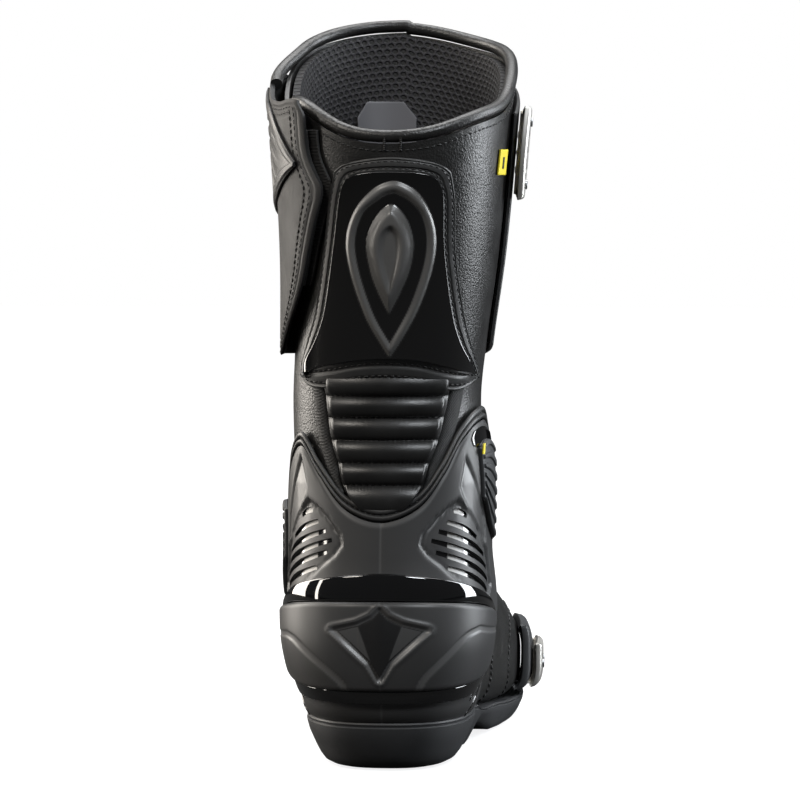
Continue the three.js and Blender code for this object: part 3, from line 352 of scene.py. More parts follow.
def line_distance(x, z, line, closed=False):
    """Distance from each place to a polyline, both as seen flat."""
    line = np.array(line, float)
    ends = np.roll(line, -1, axis=0) if closed else line[1:]
    starts = line if closed else line[:-1]
    best = np.full(np.shape(x), 1e9)
    for a, b in zip(starts, ends):
        d = b - a
        t = np.clip(((x - a[0]) * d[0] + (z - a[1]) * d[1]) / max(d @ d, 1e-9), 0, 1)
        best = np.minimum(best, np.hypot(x - a[0] - t * d[0], z - a[1] - t * d[1]))
    return best


def inside(x, z, line):
    """True where a place lies inside a closed outline."""
    line = np.array(line, float)
    found = np.zeros(np.shape(x), bool)
    for a, b in zip(line, np.roll(line, -1, axis=0)):
        crosses = (a[1] > z) != (b[1] > z)
        rise = b[1] - a[1] if b[1] != a[1] else 1e-9
        found ^= crosses & (x < (b[0] - a[0]) * (z - a[1]) / rise + a[0])
    return found


def depth_inside(x, z, line):
    """Distance in from a closed outline, and below zero outside it."""
    return np.where(inside(x, z, line), 1, -1) * line_distance(x, z, line, True)


def roll(u, v, wide, high, radius):
    """How far the surface drops near a panel's four edges, so that the edge looks turned and not cut."""
    gap = np.minimum(np.minimum(u, 1 - u) * wide, np.minimum(v, 1 - v) * high)
    t = np.clip(1 - gap / radius, 0, 1)
    return radius * (1 - np.sqrt(np.maximum(1 - t * t, 0)))


# %% [markdown]
# ## Finishes
# The boot is black all over, so it is told apart by how each material breaks the light: pebbled leather,
# dry moulded nylon, lacquered thermoplastic, rubber, knitted mesh and brushed aluminium. Shared patterns
# are node groups, so that two finishes with the same grain stay alike.

# %% Pattern groups
def group(name, inputs, outputs):
    tree = bpy.data.node_groups.new(name, "ShaderNodeTree")
    for label, kind, value in inputs:
        socket = tree.interface.new_socket(label, in_out="INPUT", socket_type=kind)
        if value is not None:
            socket.default_value = value
    for label, kind in outputs:
        tree.interface.new_socket(label, in_out="OUTPUT", socket_type=kind)
    return tree, tree.nodes.new("NodeGroupInput"), tree.nodes.new("NodeGroupOutput")


def node(tree, kind, links=None, **values):
    """Adds a node. Values set its properties, and links are {input: value or output socket}."""
    made = tree.nodes.new("ShaderNode" + kind)
    for key, value in values.items():
        setattr(made, key, value)
    for key, value in (links or {}).items():
        socket = made.inputs[key]
        if isinstance(value, bpy.types.NodeSocket):
            tree.links.new(value, socket)
        else:
            socket.default_value = value
    return made


def maths(tree, operation, a, b=0.5, clamp=False):
    return node(tree, "Math", {0: a, 1: b}, operation=operation, use_clamp=clamp).outputs[0]


F, V = "NodeSocketFloat", "NodeSocketVector"


def pebble_group():
    """Leather grain: small raised cells of uneven size, with soft creases between them."""
    tree, given, out = group("pebble grain", [("Vector", V, None), ("Scale", F, 900.0)],
                             [("Height", F), ("Shade", F)])
    warp = node(tree, "TexNoise", {"Vector": given.outputs["Vector"], "Scale": 420.0, "Detail": 2.0})
    bent = node(tree, "VectorMath", {0: warp.outputs["Color"], "Scale": 0.0011}, operation="SCALE")
    at = node(tree, "VectorMath", {0: given.outputs["Vector"], 1: bent.outputs[0]}, operation="ADD")
    cells = node(tree, "TexVoronoi", {"Vector": at.outputs[0], "Scale": given.outputs["Scale"]},
                 feature="SMOOTH_F1")
    cells.inputs["Smoothness"].default_value = 0.35
    big = node(tree, "TexNoise", {"Vector": given.outputs["Vector"], "Scale": 60.0, "Detail": 4.0})
    dome = maths(tree, "SUBTRACT", 1.0, cells.outputs["Distance"], True)
    mixed = maths(tree, "ADD", dome, maths(tree, "MULTIPLY", big.outputs["Fac"], 0.5))
    tree.links.new(mixed, out.inputs["Height"])
    tree.links.new(big.outputs["Fac"], out.inputs["Shade"])
    return tree


def moulded_group():
    """Spark-eroded mould texture with faint handling marks."""
    tree, given, out = group("moulded skin", [("Vector", V, None), ("Scale", F, 2600.0)],
                             [("Height", F), ("Shade", F)])
    fine = node(tree, "TexNoise", {"Vector": given.outputs["Vector"], "Scale": given.outputs["Scale"],
                                   "Detail": 3.0})
    wear = node(tree, "TexNoise", {"Vector": given.outputs["Vector"], "Scale": 34.0, "Detail": 6.0,
                                   "Roughness": 0.6})
    tree.links.new(fine.outputs["Fac"], out.inputs["Height"])
    tree.links.new(wear.outputs["Fac"], out.inputs["Shade"])
    return tree


def honeycomb_group():
    """Spacer mesh: rounded holes in staggered rows between raised yarn. The pattern is in millimetres."""
    tree, given, out = group("honeycomb", [("Vector", V, None), ("Pitch", F, 5.2)],
                             [("Height", F), ("Hole", F)])
    scale = maths(tree, "DIVIDE", 1.0, given.outputs["Pitch"])
    at = node(tree, "VectorMath", {0: given.outputs["Vector"], "Scale": scale}, operation="SCALE")
    split = node(tree, "SeparateXYZ", {0: at.outputs[0]})
    x, y = split.outputs["X"], split.outputs["Y"]

    def lattice(shift):
        dx = maths(tree, "SUBTRACT", maths(tree, "FRACT", maths(tree, "ADD", x, shift)), 0.5)
        row = maths(tree, "DIVIDE", y, 1.732)
        dy = maths(tree, "SUBTRACT", maths(tree, "FRACT", maths(tree, "ADD", row, shift)), 0.5)
        dy = maths(tree, "MULTIPLY", dy, 1.732)
        square = maths(tree, "ADD", maths(tree, "MULTIPLY", dx, dx), maths(tree, "MULTIPLY", dy, dy))
        return maths(tree, "SQRT", square)

    near = maths(tree, "MINIMUM", lattice(0.0), lattice(0.5))
    rise = node(tree, "MapRange", {"Value": near, "From Min": 0.24, "From Max": 0.44},
                interpolation_type="SMOOTHSTEP")
    yarn = node(tree, "TexNoise", {"Vector": given.outputs["Vector"], "Scale": 3.0, "Detail": 2.0})
    tree.links.new(maths(tree, "ADD", rise.outputs[0], maths(tree, "MULTIPLY", yarn.outputs["Fac"], 0.25)),
                   out.inputs["Height"])
    # The Hole output also sets the finish's colour, so the holes are painted darker: painted shade in the
    # holes.
    tree.links.new(rise.outputs[0], out.inputs["Hole"])
    return tree


def weave_group():
    """Woven tape: two sets of yarn that cross over and under. The pattern is in metres."""
    tree, given, out = group("weave", [("Vector", V, None), ("Scale", F, 1500.0)], [("Height", F)])
    split = node(tree, "SeparateXYZ", {0: node(tree, "VectorMath", {
        0: given.outputs["Vector"], "Scale": given.outputs["Scale"]}, operation="SCALE").outputs[0]})
    a = maths(tree, "SINE", maths(tree, "ADD", split.outputs["X"], split.outputs["Y"]), 0.0)
    b = maths(tree, "SINE", split.outputs["Z"], 0.0)
    tree.links.new(maths(tree, "MULTIPLY", maths(tree, "MULTIPLY", a, b), 0.5), out.inputs["Height"])
    return tree


PEBBLE, MOULDED, HONEYCOMB, WEAVE = pebble_group(), moulded_group(), honeycomb_group(), weave_group()
print("pattern groups:", [g.name for g in bpy.data.node_groups])


# %% Finishes from the patterns
def finish(name, colour, roughness, pattern, scale=None, bump=0.1, depth=0.0004, vary=0.08, shade=0.35,
           uv=False, **extra):
    """A Principled material whose colour, roughness and normal follow one pattern group."""
    material = bpy.data.materials.new(name)
    material.use_nodes = True
    tree = material.node_tree
    shader = tree.nodes["Principled BSDF"]
    for key, value in extra.items():
        shader.inputs[key.replace("_", " ").title().replace("Ior", "IOR")].default_value = value
    where = node(tree, "TexCoord").outputs["UV" if uv else "Object"]
    made = tree.nodes.new("ShaderNodeGroup")
    made.node_tree = pattern
    tree.links.new(where, made.inputs["Vector"])
    if scale:
        made.inputs[1].default_value = scale
    bumped = node(tree, "Bump", {"Strength": bump, "Distance": depth, "Height": made.outputs["Height"]})
    tree.links.new(bumped.outputs[0], shader.inputs["Normal"])
    second = made.outputs[1] if len(made.outputs) > 1 else made.outputs[0]
    rough = node(tree, "MapRange", {"Value": second, "From Min": 0.3, "From Max": 0.7,
                                    "To Min": roughness - vary, "To Max": roughness + vary})
    tree.links.new(rough.outputs[0], shader.inputs["Roughness"])
    ramp = node(tree, "ValToRGB", {"Fac": second})
    low, high = ramp.color_ramp.elements
    low.position, high.position = 0.25, 0.8
    low.color = (*(c * (1 - shade) for c in colour), 1)
    high.color = (*(c * (1 + shade) for c in colour), 1)
    tree.links.new(ramp.outputs[0], shader.inputs["Base Color"])
    material.diffuse_color = (*colour, 1)
    return material


def toned(name, base, satin, dark, roughness, lacquer):
    """One moulding in three tones: a colour each, and roughness and lacquer with a value for each tone."""
    material = finish(name, base, roughness[0], MOULDED, 2200.0, 0.08, 0.00012)
    tree = material.node_tree
    shader = tree.nodes["Principled BSDF"]
    masks = node(tree, "SeparateXYZ", {0: node(tree, "TexCoord").outputs["UV"]}).outputs
    wear = next(n for n in tree.nodes if n.bl_idname == "ShaderNodeGroup").outputs["Shade"]

    def pick(values):
        first = maths(tree, "ADD", values[0], maths(tree, "MULTIPLY", masks["X"], values[1] - values[0]))
        return maths(tree, "ADD", first, maths(tree, "MULTIPLY", masks["Y"], values[2] - values[0]))

    channels = {axis: pick([tone[i] for tone in (base, satin, dark)]) for i, axis in enumerate("XYZ")}
    tree.links.new(node(tree, "CombineXYZ", channels).outputs[0], shader.inputs["Base Color"])
    rubbed = maths(tree, "MULTIPLY", maths(tree, "SUBTRACT", wear, 0.5), 0.08)
    tree.links.new(maths(tree, "ADD", pick(roughness), rubbed), shader.inputs["Roughness"])
    tree.links.new(pick(lacquer), shader.inputs["Coat Weight"])
    shader.inputs["Coat Roughness"].default_value = 0.03
    return material


# Each finish: colour, roughness, pattern and its scale, the bump's strength and depth, and how far the
# roughness and then the shade vary.
LEATHER = finish("black leather", (0.012, 0.0118, 0.0115), 0.36, PEBBLE, 1050.0, 0.5, 0.0003, 0.05)
QUILT = finish("soft black leather", (0.011, 0.011, 0.011), 0.37, PEBBLE, 1500.0, 0.22, 0.0002, 0.05)
SUEDE = finish("brushed microfibre", (0.011, 0.011, 0.0112), 0.66, PEBBLE, 1900.0, 0.3, 0.0002, 0.06)
SHELL = finish("matte moulded shell", (0.032, 0.032, 0.0325), 0.43, MOULDED, 2600.0, 0.12, 0.00015, 0.05,
               0.12)
DARK = finish("dark moulded shell", (0.012, 0.012, 0.0125), 0.4, MOULDED, 2600.0, 0.08, 0.0001, 0.04, 0.12)
GLOSS = finish("gloss lacquer", (0.0035, 0.0035, 0.0038), 0.05, MOULDED, 60.0, 0.015, 0.0002, 0.02, 0.1,
               coat_weight=1.0, coat_roughness=0.02)
RUBBER = finish("grey rubber", (0.030, 0.031, 0.033), 0.52, MOULDED, 1500.0, 0.2, 0.0002, 0.06, 0.2)
# The spacer mesh's holes are painted far darker than its yarn, as painted shade in the holes.
MESH = finish("spacer mesh", (0.010, 0.0095, 0.0115), 0.7, HONEYCOMB, 3.3, 1.0, 0.0012, 0.03, 0.9, uv=True)
METAL = finish("satin aluminium", (0.74, 0.72, 0.68), 0.42, MOULDED, 900.0, 0.08, 0.0001, 0.06, 0.08,
               metallic=1.0)
STEEL = finish("screw steel", (0.45, 0.46, 0.48), 0.3, MOULDED, 1200.0, 0.06, 0.0001, 0.05, 0.1, metallic=1.0)
TAPE = finish("woven tape", (0.012, 0.012, 0.012), 0.7, WEAVE, 4200.0, 0.6, 0.0003, 0.05, 0.4)
THREAD = finish("black thread", (0.006, 0.006, 0.006), 0.55, WEAVE, 7000.0, 0.5, 0.0002, 0.04, 0.3)
BOARD = finish("pressed fibre board", (0.42, 0.36, 0.27), 0.85, MOULDED, 300.0, 0.4, 0.0003, 0.05, 0.15)
YELLOW = finish("yellow woven tag", (0.86, 0.70, 0.02), 0.6, WEAVE, 3600.0, 0.35, 0.0002, 0.05, 0.12)
LABEL = finish("grey printed label", (0.11, 0.11, 0.12), 0.5, WEAVE, 5000.0, 0.2, 0.0001, 0.05, 0.1)
TRIM = finish("smooth trim leather", (0.024, 0.024, 0.024), 0.4, PEBBLE, 2100.0, 0.2, 0.0002, 0.05)
# Each toned finish: three colours, three values of roughness and three of lacquer.
CALF = toned("lacquered calf plate", (0.0030, 0.0030, 0.0032), (0.090, 0.089, 0.087), (0.004, 0.004, 0.004),
             (0.06, 0.34, 0.2), (1, 0, 0.3))
CHARCOAL = toned("charcoal moulding", (0.032, 0.032, 0.0325), (0.10, 0.10, 0.10), (0.009, 0.009, 0.0095),
                 (0.43, 0.34, 0.34), (0, 0, 0.25))
VENT = toned("vent insert", (0.004, 0.004, 0.004), (0.48, 0.47, 0.45), (0.004, 0.004, 0.004),
             (0.1, 0.35, 0.1), (1, 0, 1))
print("finishes:", len(bpy.data.materials))

# %% [markdown]
# ## The leather upper
# The upper is one sock of leather, 2 mm thick, from the top edge down round the heel and out to the toe.
# On a real boot it is cut in quarters and stitched; the seams are added afterwards as lines of thread. It
# is one mesh here, with no gap at the ankle. Its inner side is slit for the zip.

# %% Rows of the sock and the zip's slit
ZIP_TOP = (-60.0, float(rim_height(-60)) - 8)
ZIP_FOOT = (-85.0, 206.0)
PER_MM = 180 / (np.pi * 58)


def zip_at(z):
    share = np.clip((z - ZIP_FOOT[1]) / (ZIP_TOP[1] - ZIP_FOOT[1]), -0.4, 1.1)
    return ZIP_FOOT[0] + (ZIP_TOP[0] - ZIP_FOOT[0]) * share


# Shares of the sock's length at which the shaft, the ankle and the foot end.
SHAFT_END, ANKLE_END, FOOT_END = 0.42, 0.66, 0.86


def sock_place(u, v, top_gap=3.0):
    """v runs from the top edge (0) over the ankle and along the foot to the toe tip (1)."""
    a, z = zip_at(np.full(u.shape, SHAFT_FOOT)) + 360 * u, np.full(u.shape, 250.0)
    for _ in range(6):
        half = 3.1 * PER_MM * ease(z, 176, 187)
        around = zip_at(z) + half + (360 - 2 * half) * u
        z = SHAFT_FOOT + (rim_height(around) - top_gap - SHAFT_FOOT) * (1 - np.clip(v / SHAFT_END, 0, 1))
    bend = 90 * (v - SHAFT_END) / (ANKLE_END - SHAFT_END)
    y = PIVOT_Y + (TOE_START - PIVOT_Y) * (v - ANKLE_END) / (FOOT_END - ANKLE_END)
    curl = 90 * np.clip((v - FOOT_END) / (1 - FOOT_END), 0, 1)
    zone = np.digitize(v, (SHAFT_END, ANKLE_END, FOOT_END), right=True)
    zones = ((on_leg, around, z), (on_ankle, a, bend), (on_foot, a, y), (on_toe, a, curl))
    p, n = np.zeros(u.shape + (3,)), np.zeros(u.shape + (3,))
    for number, (surface, first, second) in enumerate(zones):
        here = zone == number
        if here.any():
            p[here], n[here] = surface(first[here], second[here])
    return p, n


def bend_at_ankle(obj):
    """Bakes the piece's place in the world into its mesh."""
    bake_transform(obj)
    return obj


# %% Upper and lining
upper = panel("upper", sock_place, 168, 226, 0.0, 2.0, 0, closed=True)
dress(upper, LEATHER, nodes=("vamp", "heel_quarter", "ankle_gusset", "rear_quarter", "front_quarter"))
bend_at_ankle(upper)

lining = panel("lining", lambda u, v: sock_place(u, v, 4.5), 120, 150, -3.6, 3.4, 0, closed=True,
               uv=lambda u, v: (u * 320, (1 - v) * 420))
dress(lining, MESH, nodes=("toe_lining", "heel_lining", "ankle_lining", "rear_lining", "front_lining"))
bend_at_ankle(lining)

# %% [markdown]
# ## Thread and piping
# A lockstitch shows as a row of short capsules that sink into the leather, one every three millimetres.
# Each is one small sphere primitive, stretched and repeated along a line on the surface. The piping is a
# cord wrapped in leather, so it is a tube swept along the top edge.

# %% Stitch and cord helpers
def stations_along(points, pitch):
    """Evenly spaced places on a line, with the direction at each."""
    gaps = np.linalg.norm(np.diff(points, axis=0), axis=1)
    run = np.concatenate([[0], np.cumsum(gaps)])
    at = np.arange(pitch / 2, run[-1], pitch)
    spot = np.stack([np.interp(at, run, points[:, k]) for k in range(3)], -1)
    ahead = np.stack([np.interp(at + 0.4, run, points[:, k]) for k in range(3)], -1)
    behind = np.stack([np.interp(at - 0.4, run, points[:, k]) for k in range(3)], -1)
    way = ahead - behind
    return spot, way / np.linalg.norm(way, axis=1, keepdims=True), at / run[-1]


def bead():
    """The shape of one stitch: a small sphere primitive, read and removed."""
    made = primitive(bpy.ops.mesh.primitive_uv_sphere_add, "bead", segments=6, ring_count=4, radius=1)
    co, faces = points_of(made), [tuple(f.vertices) for f in made.data.polygons]
    bpy.ops.object.delete()
    return co, faces


BEAD = bead()


def repeated(name, copies, faces):
    """One mesh from equal copies of a small shape, in millimetres."""
    polygons = [tuple(i + k * len(copy) for i in f) for k, copy in enumerate(copies) for f in faces]
    data = bpy.data.meshes.new(name)
    data.from_pydata((np.concatenate(copies) * MM).tolist(), [], polygons)
    obj = bpy.data.objects.new(name, data)
    bpy.context.scene.collection.objects.link(obj)
    return obj


def sew(name, lines, body=None, length=2.3, pitch=3.1, radius=0.42, lift=0.1, material=None):
    """Rows of stitches. Each line is (points, normals) on the surface, in millimetres."""
    (co, faces), stitches = BEAD, []
    for points, normals in lines:
        spot, way, share = stations_along(points, pitch)
        index = share * (len(points) - 1)
        out = np.stack([np.interp(index, np.arange(len(points)), normals[:, k]) for k in range(3)], -1)
        side = np.cross(way, out)
        side /= np.linalg.norm(side, axis=1, keepdims=True)
        out = np.cross(side, way)
        for k in range(len(spot)):
            stretch = (co[:, 2:3] * way[k] * length / 2 + co[:, 0:1] * side[k] * radius
                       + co[:, 1:2] * out[k] * radius + spot[k] + out[k] * lift)
            stitches.append(stretch)
    obj = repeated(name, stitches, faces)
    edit(obj, bpy.ops.mesh.normals_make_consistent)
    smooth(obj, 60)
    print(f"{name}: {len(stitches)} stitches")
    return dress(obj, material or THREAD, body)


def cord(name, points, normals, radius, sides=14, closed=False, flat=1.0):
    """A tube swept along points. flat squeezes it towards the surface."""
    count = len(points)
    way = np.gradient(points, axis=0)
    if closed:
        way = np.roll(points, -1, axis=0) - np.roll(points, 1, axis=0)
    way /= np.linalg.norm(way, axis=1, keepdims=True)
    side = np.cross(way, normals)
    side /= np.linalg.norm(side, axis=1, keepdims=True)
    out = np.cross(side, way)
    obj = primitive(bpy.ops.mesh.primitive_grid_add, name, x_subdivisions=count - 1 + closed,
                    y_subdivisions=sides, size=1)
    flat_points = points_of(obj)
    i = np.rint((flat_points[:, 0] + 0.5) * (count - 1 + closed)).astype(int) % count
    a = 2 * np.pi * (flat_points[:, 1] + 0.5)
    size = np.broadcast_to(np.reshape(radius, (-1,)), (count,))[i][:, None]
    place = points[i] + side[i] * np.cos(a)[:, None] * size + out[i] * np.sin(a)[:, None] * size * flat
    move_points(obj, place * MM)
    edit(obj, lambda: bpy.ops.mesh.remove_doubles(threshold=1e-6))
    if not closed:
        edit(obj, lambda: (bpy.ops.mesh.select_all(action="DESELECT"), bpy.ops.mesh.select_non_manifold(),
                           bpy.ops.mesh.edge_face_add()))
    edit(obj, lambda: bpy.ops.mesh.normals_make_consistent(inside=False))
    smooth(obj, 60)
    print(f"{name}: {len(obj.data.polygons)} faces")
    return obj


def line_on_leg(pairs, count=80, lift=0.0, surface=on_leg):
    at = through(pairs)(np.linspace(0, 1, count))
    return raised_line(surface, at[:, 0], at[:, 1], lift)


def rim_line(start, end, drop, lift, count=160):
    a = np.linspace(start, end, count)
    p, n = on_leg(a, rim_height(a) - drop)
    return p + n * lift, n


# %% Piping round the top edge, and its seam
points, normals = rim_line(-54, 272, -0.4, 0.0, 220)
degrees = np.linspace(-54, 272, 220)
points += normals * (-2.0 + 6.0 * ease(degrees, 236, 268) - 0.6 * ease(degrees, -30, -50))[:, None]
binding = cord("piping", points, normals, 3.0, 16)
dress(binding, LEATHER, "shaft", ("collar_binding",))
sew("collar_stitches", [rim_line(-30, 252, 6.2, 0, 260)], "shaft")


# %% [markdown]
# ## Calf plate
# A lacquered plate guards the calf and the back of the leg. It is vacuum-formed over a tool, so its ring
# and boss are raised in the one sheet. The grid below is lifted by a height map drawn as distances from
# outlines, which gives crisp ridges without joining separate solids. A stitched leather border holds the
# plate's edge.

# %% Relief helpers
def lean(z):
    return 5 * np.clip((z - 140) / 140, 0, 1)


PLATE_FOOT = [(-35.5, 186), (-31, 189), (-24, 191.2), (-12, 193.8), (1, 194.6), (14, 193.8), (25, 190.6),
              (32, 188), (37.5, 186)]
BORDER_FOOT = [(-39, 185), (-34.5, 180.5), (-25, 180), (-12, 182.8), (1, 183.6), (14, 182.4), (26, 179),
               (33.5, 179.5), (39.5, 184.5)]


def rear_patch(grow):
    """Four edges of the plate, or of a larger outline round it."""
    g, mix = grow, max(grow / 5.4, -0.3)
    foot = [(a + (c - a) * mix, b + (d - b) * mix) for (a, b), (c, d) in zip(PLATE_FOOT, BORDER_FOOT)]
    top = [(-19.5 - g, 276 + g), (-17.3 - 0.6 * g, 279.2 + g), (-11, 281.2 + g), (0, 281.8 + 1.1 * g),
           (13, 281.2 + g), (19 + 0.6 * g, 279 + g), (21 + g, 275.8 + g)]
    left = [(-35.5 - 0.5 * g, 192), (-31 - 0.9 * g, 202), (-27 - g, 216), (-23.5 - g, 245), (-21.5 - g, 268)]
    right = [(35.5 + 0.5 * g, 192), (31 + 0.9 * g, 202), (27.5 + g, 216), (23.8 + g, 245), (23 + g, 268)]
    return framed(through(foot), through(top), through([foot[0], *left, top[0]]),
                  through([foot[-1], *right, top[-1]]))


def laid_back(outline):
    def place(u, v):
        x, z = outline(u, v)
        return on_back(x + lean(z), z)

    return place


def ridge(distance, half, height):
    """A rounded ridge either side of distance zero."""
    return height * np.sqrt(np.clip(1 - (distance / half) ** 2, 0, 1))


def rounded_outline(knots, steps=8):
    """A closed smooth outline that keeps its first knot as a sharp tip."""
    share = np.linspace(0, 1, steps * len(knots) + 1)
    return [tuple(map(float, p)) for p in through([*knots, knots[0]])(share)[:-1]]


RING = rounded_outline([(3.9, 196.4), (8.5, 203.8), (15.8, 218.5), (21.6, 236.3), (23.5, 249.7), (22, 261),
                        (17.2, 271), (11.1, 275.8), (5.9, 276.8), (-1.3, 273.6), (-9.1, 264.2),
                        (-13.1, 250.5), (-11.5, 234.8), (-5.8, 215), (0.4, 202.4)])
BOSS = rounded_outline([(4.1, 215.4), (8.6, 224.5), (13.3, 236.4), (15.1, 249.5), (12.1, 260.6),
                        (5.9, 266.9), (-0.8, 261.4), (-5.2, 249.7), (-3.7, 235.4), (0, 224.2)])
DISH = rounded_outline([(4.5, 226.7), (8.5, 241), (8.9, 252), (5.5, 257), (1.3, 252), (0.8, 241)])


def flat_place(place, u, v):
    """Across and up, as seen from behind."""
    p, _ = place(u, v)
    return p[:, 0], p[:, 2]


plate_place = laid_back(rear_patch(0))


def ring_middle(z):
    """Half the ring's width, which grows towards the top."""
    return 1.3 + 0.9 * ease(z, 262, 272)


def plate_height(u, v):
    x, z = flat_place(plate_place, u, v)
    ring, boss, dish = (depth_inside(x, z, line) for line in (RING, BOSS, DISH))
    middle = ring_middle(z)
    height = 5.6 + 1.5 * np.cos(0.5 * np.pi * np.clip((ring - middle) / (middle + 0.5), -1, 1)) ** 1.1
    height += np.where(boss > 0, 0.6 * ease(boss, 0, 0.7) + 3.2 * ease(boss, 0, 4.6), 0)
    height -= 1.9 * ease(dish, -0.8, 1.6)
    return height - roll(u, v, 54, 92, 2.2) * 0.9


def plate_tone(u, v):
    x, z = flat_place(plate_place, u, v)
    ring, boss = depth_inside(x, z, RING), depth_inside(x, z, BOSS)
    middle = ring_middle(z)
    return np.maximum(ease(np.abs(ring - middle), middle + 0.9, middle + 0.3), ease(boss, -0.1, 0.5)), 0


calf_plate = panel("calf_shield", plate_place, 150, 236, plate_height, 2.2, 0, tone=plate_tone)
dress(calf_plate, CALF, "shaft", ("calf_plate",))

# %% Stitched border round the plate
def band_between(inner, outer):
    """The strip between two four-sided patches, as (u round, v across)."""
    def edge(patch, s):
        side = np.clip((s * 4).astype(int), 0, 3)
        t = s * 4 - side
        u = np.select([side == 0, side == 1, side == 2], [t, 1 + 0 * t, 1 - t], 0 * t)
        v = np.select([side == 0, side == 1, side == 2], [0 * t, t, 1 + 0 * t], 1 - t)
        return patch(u, v)

    return lambda u, v: edge(inner, u) * (1 - v) + edge(outer, u) * v


border_place = laid_back(band_between(rear_patch(-1.8), rear_patch(5.4)))


def border_height(u, v):
    pillow = 3.0 + 1.0 * np.sin(np.pi * np.clip(v, 0, 1)) ** 0.6
    groove = sum(ridge((v - at) * 8.6, 0.7, 0.6) for at in (0.44, 0.86))
    return pillow - groove


border = panel("calf_border", border_place, 260, 22, border_height, 2.4, 0.3, closed=True)
dress(border, TRIM, "shaft", ("calf_plate_border",))


def round_patch(grow, lift, count=520):
    edge = band_between(rear_patch(grow), rear_patch(grow + 1))
    u = np.linspace(0, 1, count)
    return raised_line(laid_back(edge), u, 0 * u, lift)


sew("calf_stitches", [round_patch(1.1, 3.6), round_patch(4.0, 3.5)], "shaft")

# %% [markdown]
# ## Heel tendon panel
# Stretch leather over foam lets the heel tendon move. Straight seams pull the foam down into ribs, so
# each rib is a bulge between two stitched valleys. The sides tuck under a narrow knitted strip.

# %% Ribs, strips and their seams
RIB_LINES = [186.5, 176.2, 166.0, 155.3, 144.6, 134.2, 121.0]
TENDON_SIDE = through([(-8, 119), (-17, 131), (-20.5, 144), (-24, 155), (-26, 166), (-27.5, 176),
                       (-29.5, 188)])


def tendon_place(u, v):
    left = TENDON_SIDE(v)
    return on_back(left[:, 0] * (1 - 2 * u) + lean(left[:, 1]) + 0.4, left[:, 1])


def tendon_height(u, v):
    z = TENDON_SIDE(v)[:, 1]
    height = np.full(z.shape, 0.0)
    for high, low in zip(RIB_LINES, RIB_LINES[1:]):
        share = np.clip((z - low) / (high - low), 0, 1)
        rib = np.sin(np.pi * share) ** 0.6 * 3.3
        height = np.where((z >= low) & (z <= high), rib, height)
    side = ease(np.minimum(u, 1 - u) * 50, 0, 3.0)
    pucker = 0.12 * np.sin(u * 150) * ease(height, 3, 0.5)
    return 1.6 + (height + pucker) * (0.15 + 0.85 * side)


tendon = panel("tendon_ribs", tendon_place, 90, 150, tendon_height, 1.4, 0.3)
dress(tendon, QUILT, nodes=("tendon_panel",))
bend_at_ankle(tendon)
across, up = np.linspace(0.07, 0.93, 60), np.linspace(0, 1, 60)
rib_shares = np.interp(RIB_LINES[:-1], TENDON_SIDE(up)[:, 1], up)
rib_rows = [raised_line(tendon_place, across, np.full(60, share), 1.9) for share in rib_shares]
bend_at_ankle(sew("tendon_stitches", rib_rows, length=2.2))


def strip_place(side):
    def place(u, v):
        left = TENDON_SIDE(0.16 + 0.84 * v)
        x = side * (-left[:, 0] + 0.6 + 6.2 * u * ease(v, -0.1, 0.2))
        return on_back(x + lean(left[:, 1]) + 0.4, left[:, 1])

    return place


for label, side in (("inner", -1), ("outer", 1)):
    strip = panel(f"tendon_strip_{label}", strip_place(side), 10, 70,
                  lambda u, v: 0.9 + 1.3 * np.sin(np.pi * u) ** 0.5 + 0.12 * np.sin(v * 190), 0.9, 0.2)
    bend_at_ankle(dress(strip, TAPE))


# %% [markdown]
# ## Ankle frame
# One dry, matte moulding wraps the heel and both ankle bones and is glued into the sole. Its vents are
# six slanted slots a side that show the gloss insert behind them. The slots are cut with a boolean, as a
# moulding tool's shut-offs would cut them, after the sheet has been given its relief.

# %% The frame's shape
FRAME_TOP = through([(-118, 86), (-100, 98), (-84, 112), (-72, 126), (-61, 143), (-47, 151.5), (-34, 138.5),
                     (-18, 122.5), (0, 116.5), (18, 123), (32, 138), (46, 154), (64, 162), (82, 159),
                     (100, 128), (118, 92)])
LEAF = [(18.5, 106), (20, 111), (27, 118.5), (33, 122.8), (40, 126), (48, 120.5), (57, 112), (70, 100),
        (78, 84), (62, 75.5), (46, 83), (34, 91.5), (22, 101)]
SLOTS = [((47, 118.6), (37.5, 121.6)), ((56, 108), (33, 116.6)), ((66, 99), (28, 112.4)),
         ((70, 92.5), (24, 108.2)), ((71, 86.3), (26, 102.6)), ((69, 81.6), (32, 95))]
BLADE = [(47, 147.5), (55, 135), (64, 118), (68, 104), (58, 111), (50, 119), (44, 127), (41.5, 133)]


def sole_top(y):
    return station(FOOT, 3, np.maximum(y, -20)) + 4


def frame_foot(a):
    return sole_top(LEG_CENTRE - 50 * np.cos(np.radians(a))) + 0.6 + 8 * ease(np.abs(a), 85, 118)


def frame_outline(u, v):
    high = FRAME_TOP(u)
    low = frame_foot(high[:, 0])
    return high[:, 0], low + (high[:, 1] - low) * (0.75 * v + 0.25 * v * v)


MM_PER_DEGREE = 0.84


def measured(line):
    """An outline in degrees and height, turned to millimetres across and up."""
    return [(a * MM_PER_DEGREE, z) for a, z in line]


def frame_height(u, v):
    a, z = frame_outline(u, v)
    leaf, blade = (depth_inside(np.abs(a) * MM_PER_DEGREE, z, measured(line)) for line in (LEAF, BLADE))
    height = 3.9 - 1.2 * ease(leaf, -0.9, 1.2) + 0.5 * ease(leaf, 1.5, 9)
    height -= ridge(leaf, 1.1, 0.8)
    height -= 0.8 * ease(blade, -0.3, 0.6)
    height -= ridge(a * MM_PER_DEGREE, 0.35, 0.14)
    gap = (FRAME_TOP(u)[:, 1] - z) * 0.8
    return height - 0.8 * (1 - ease(gap, 0, 1.6))


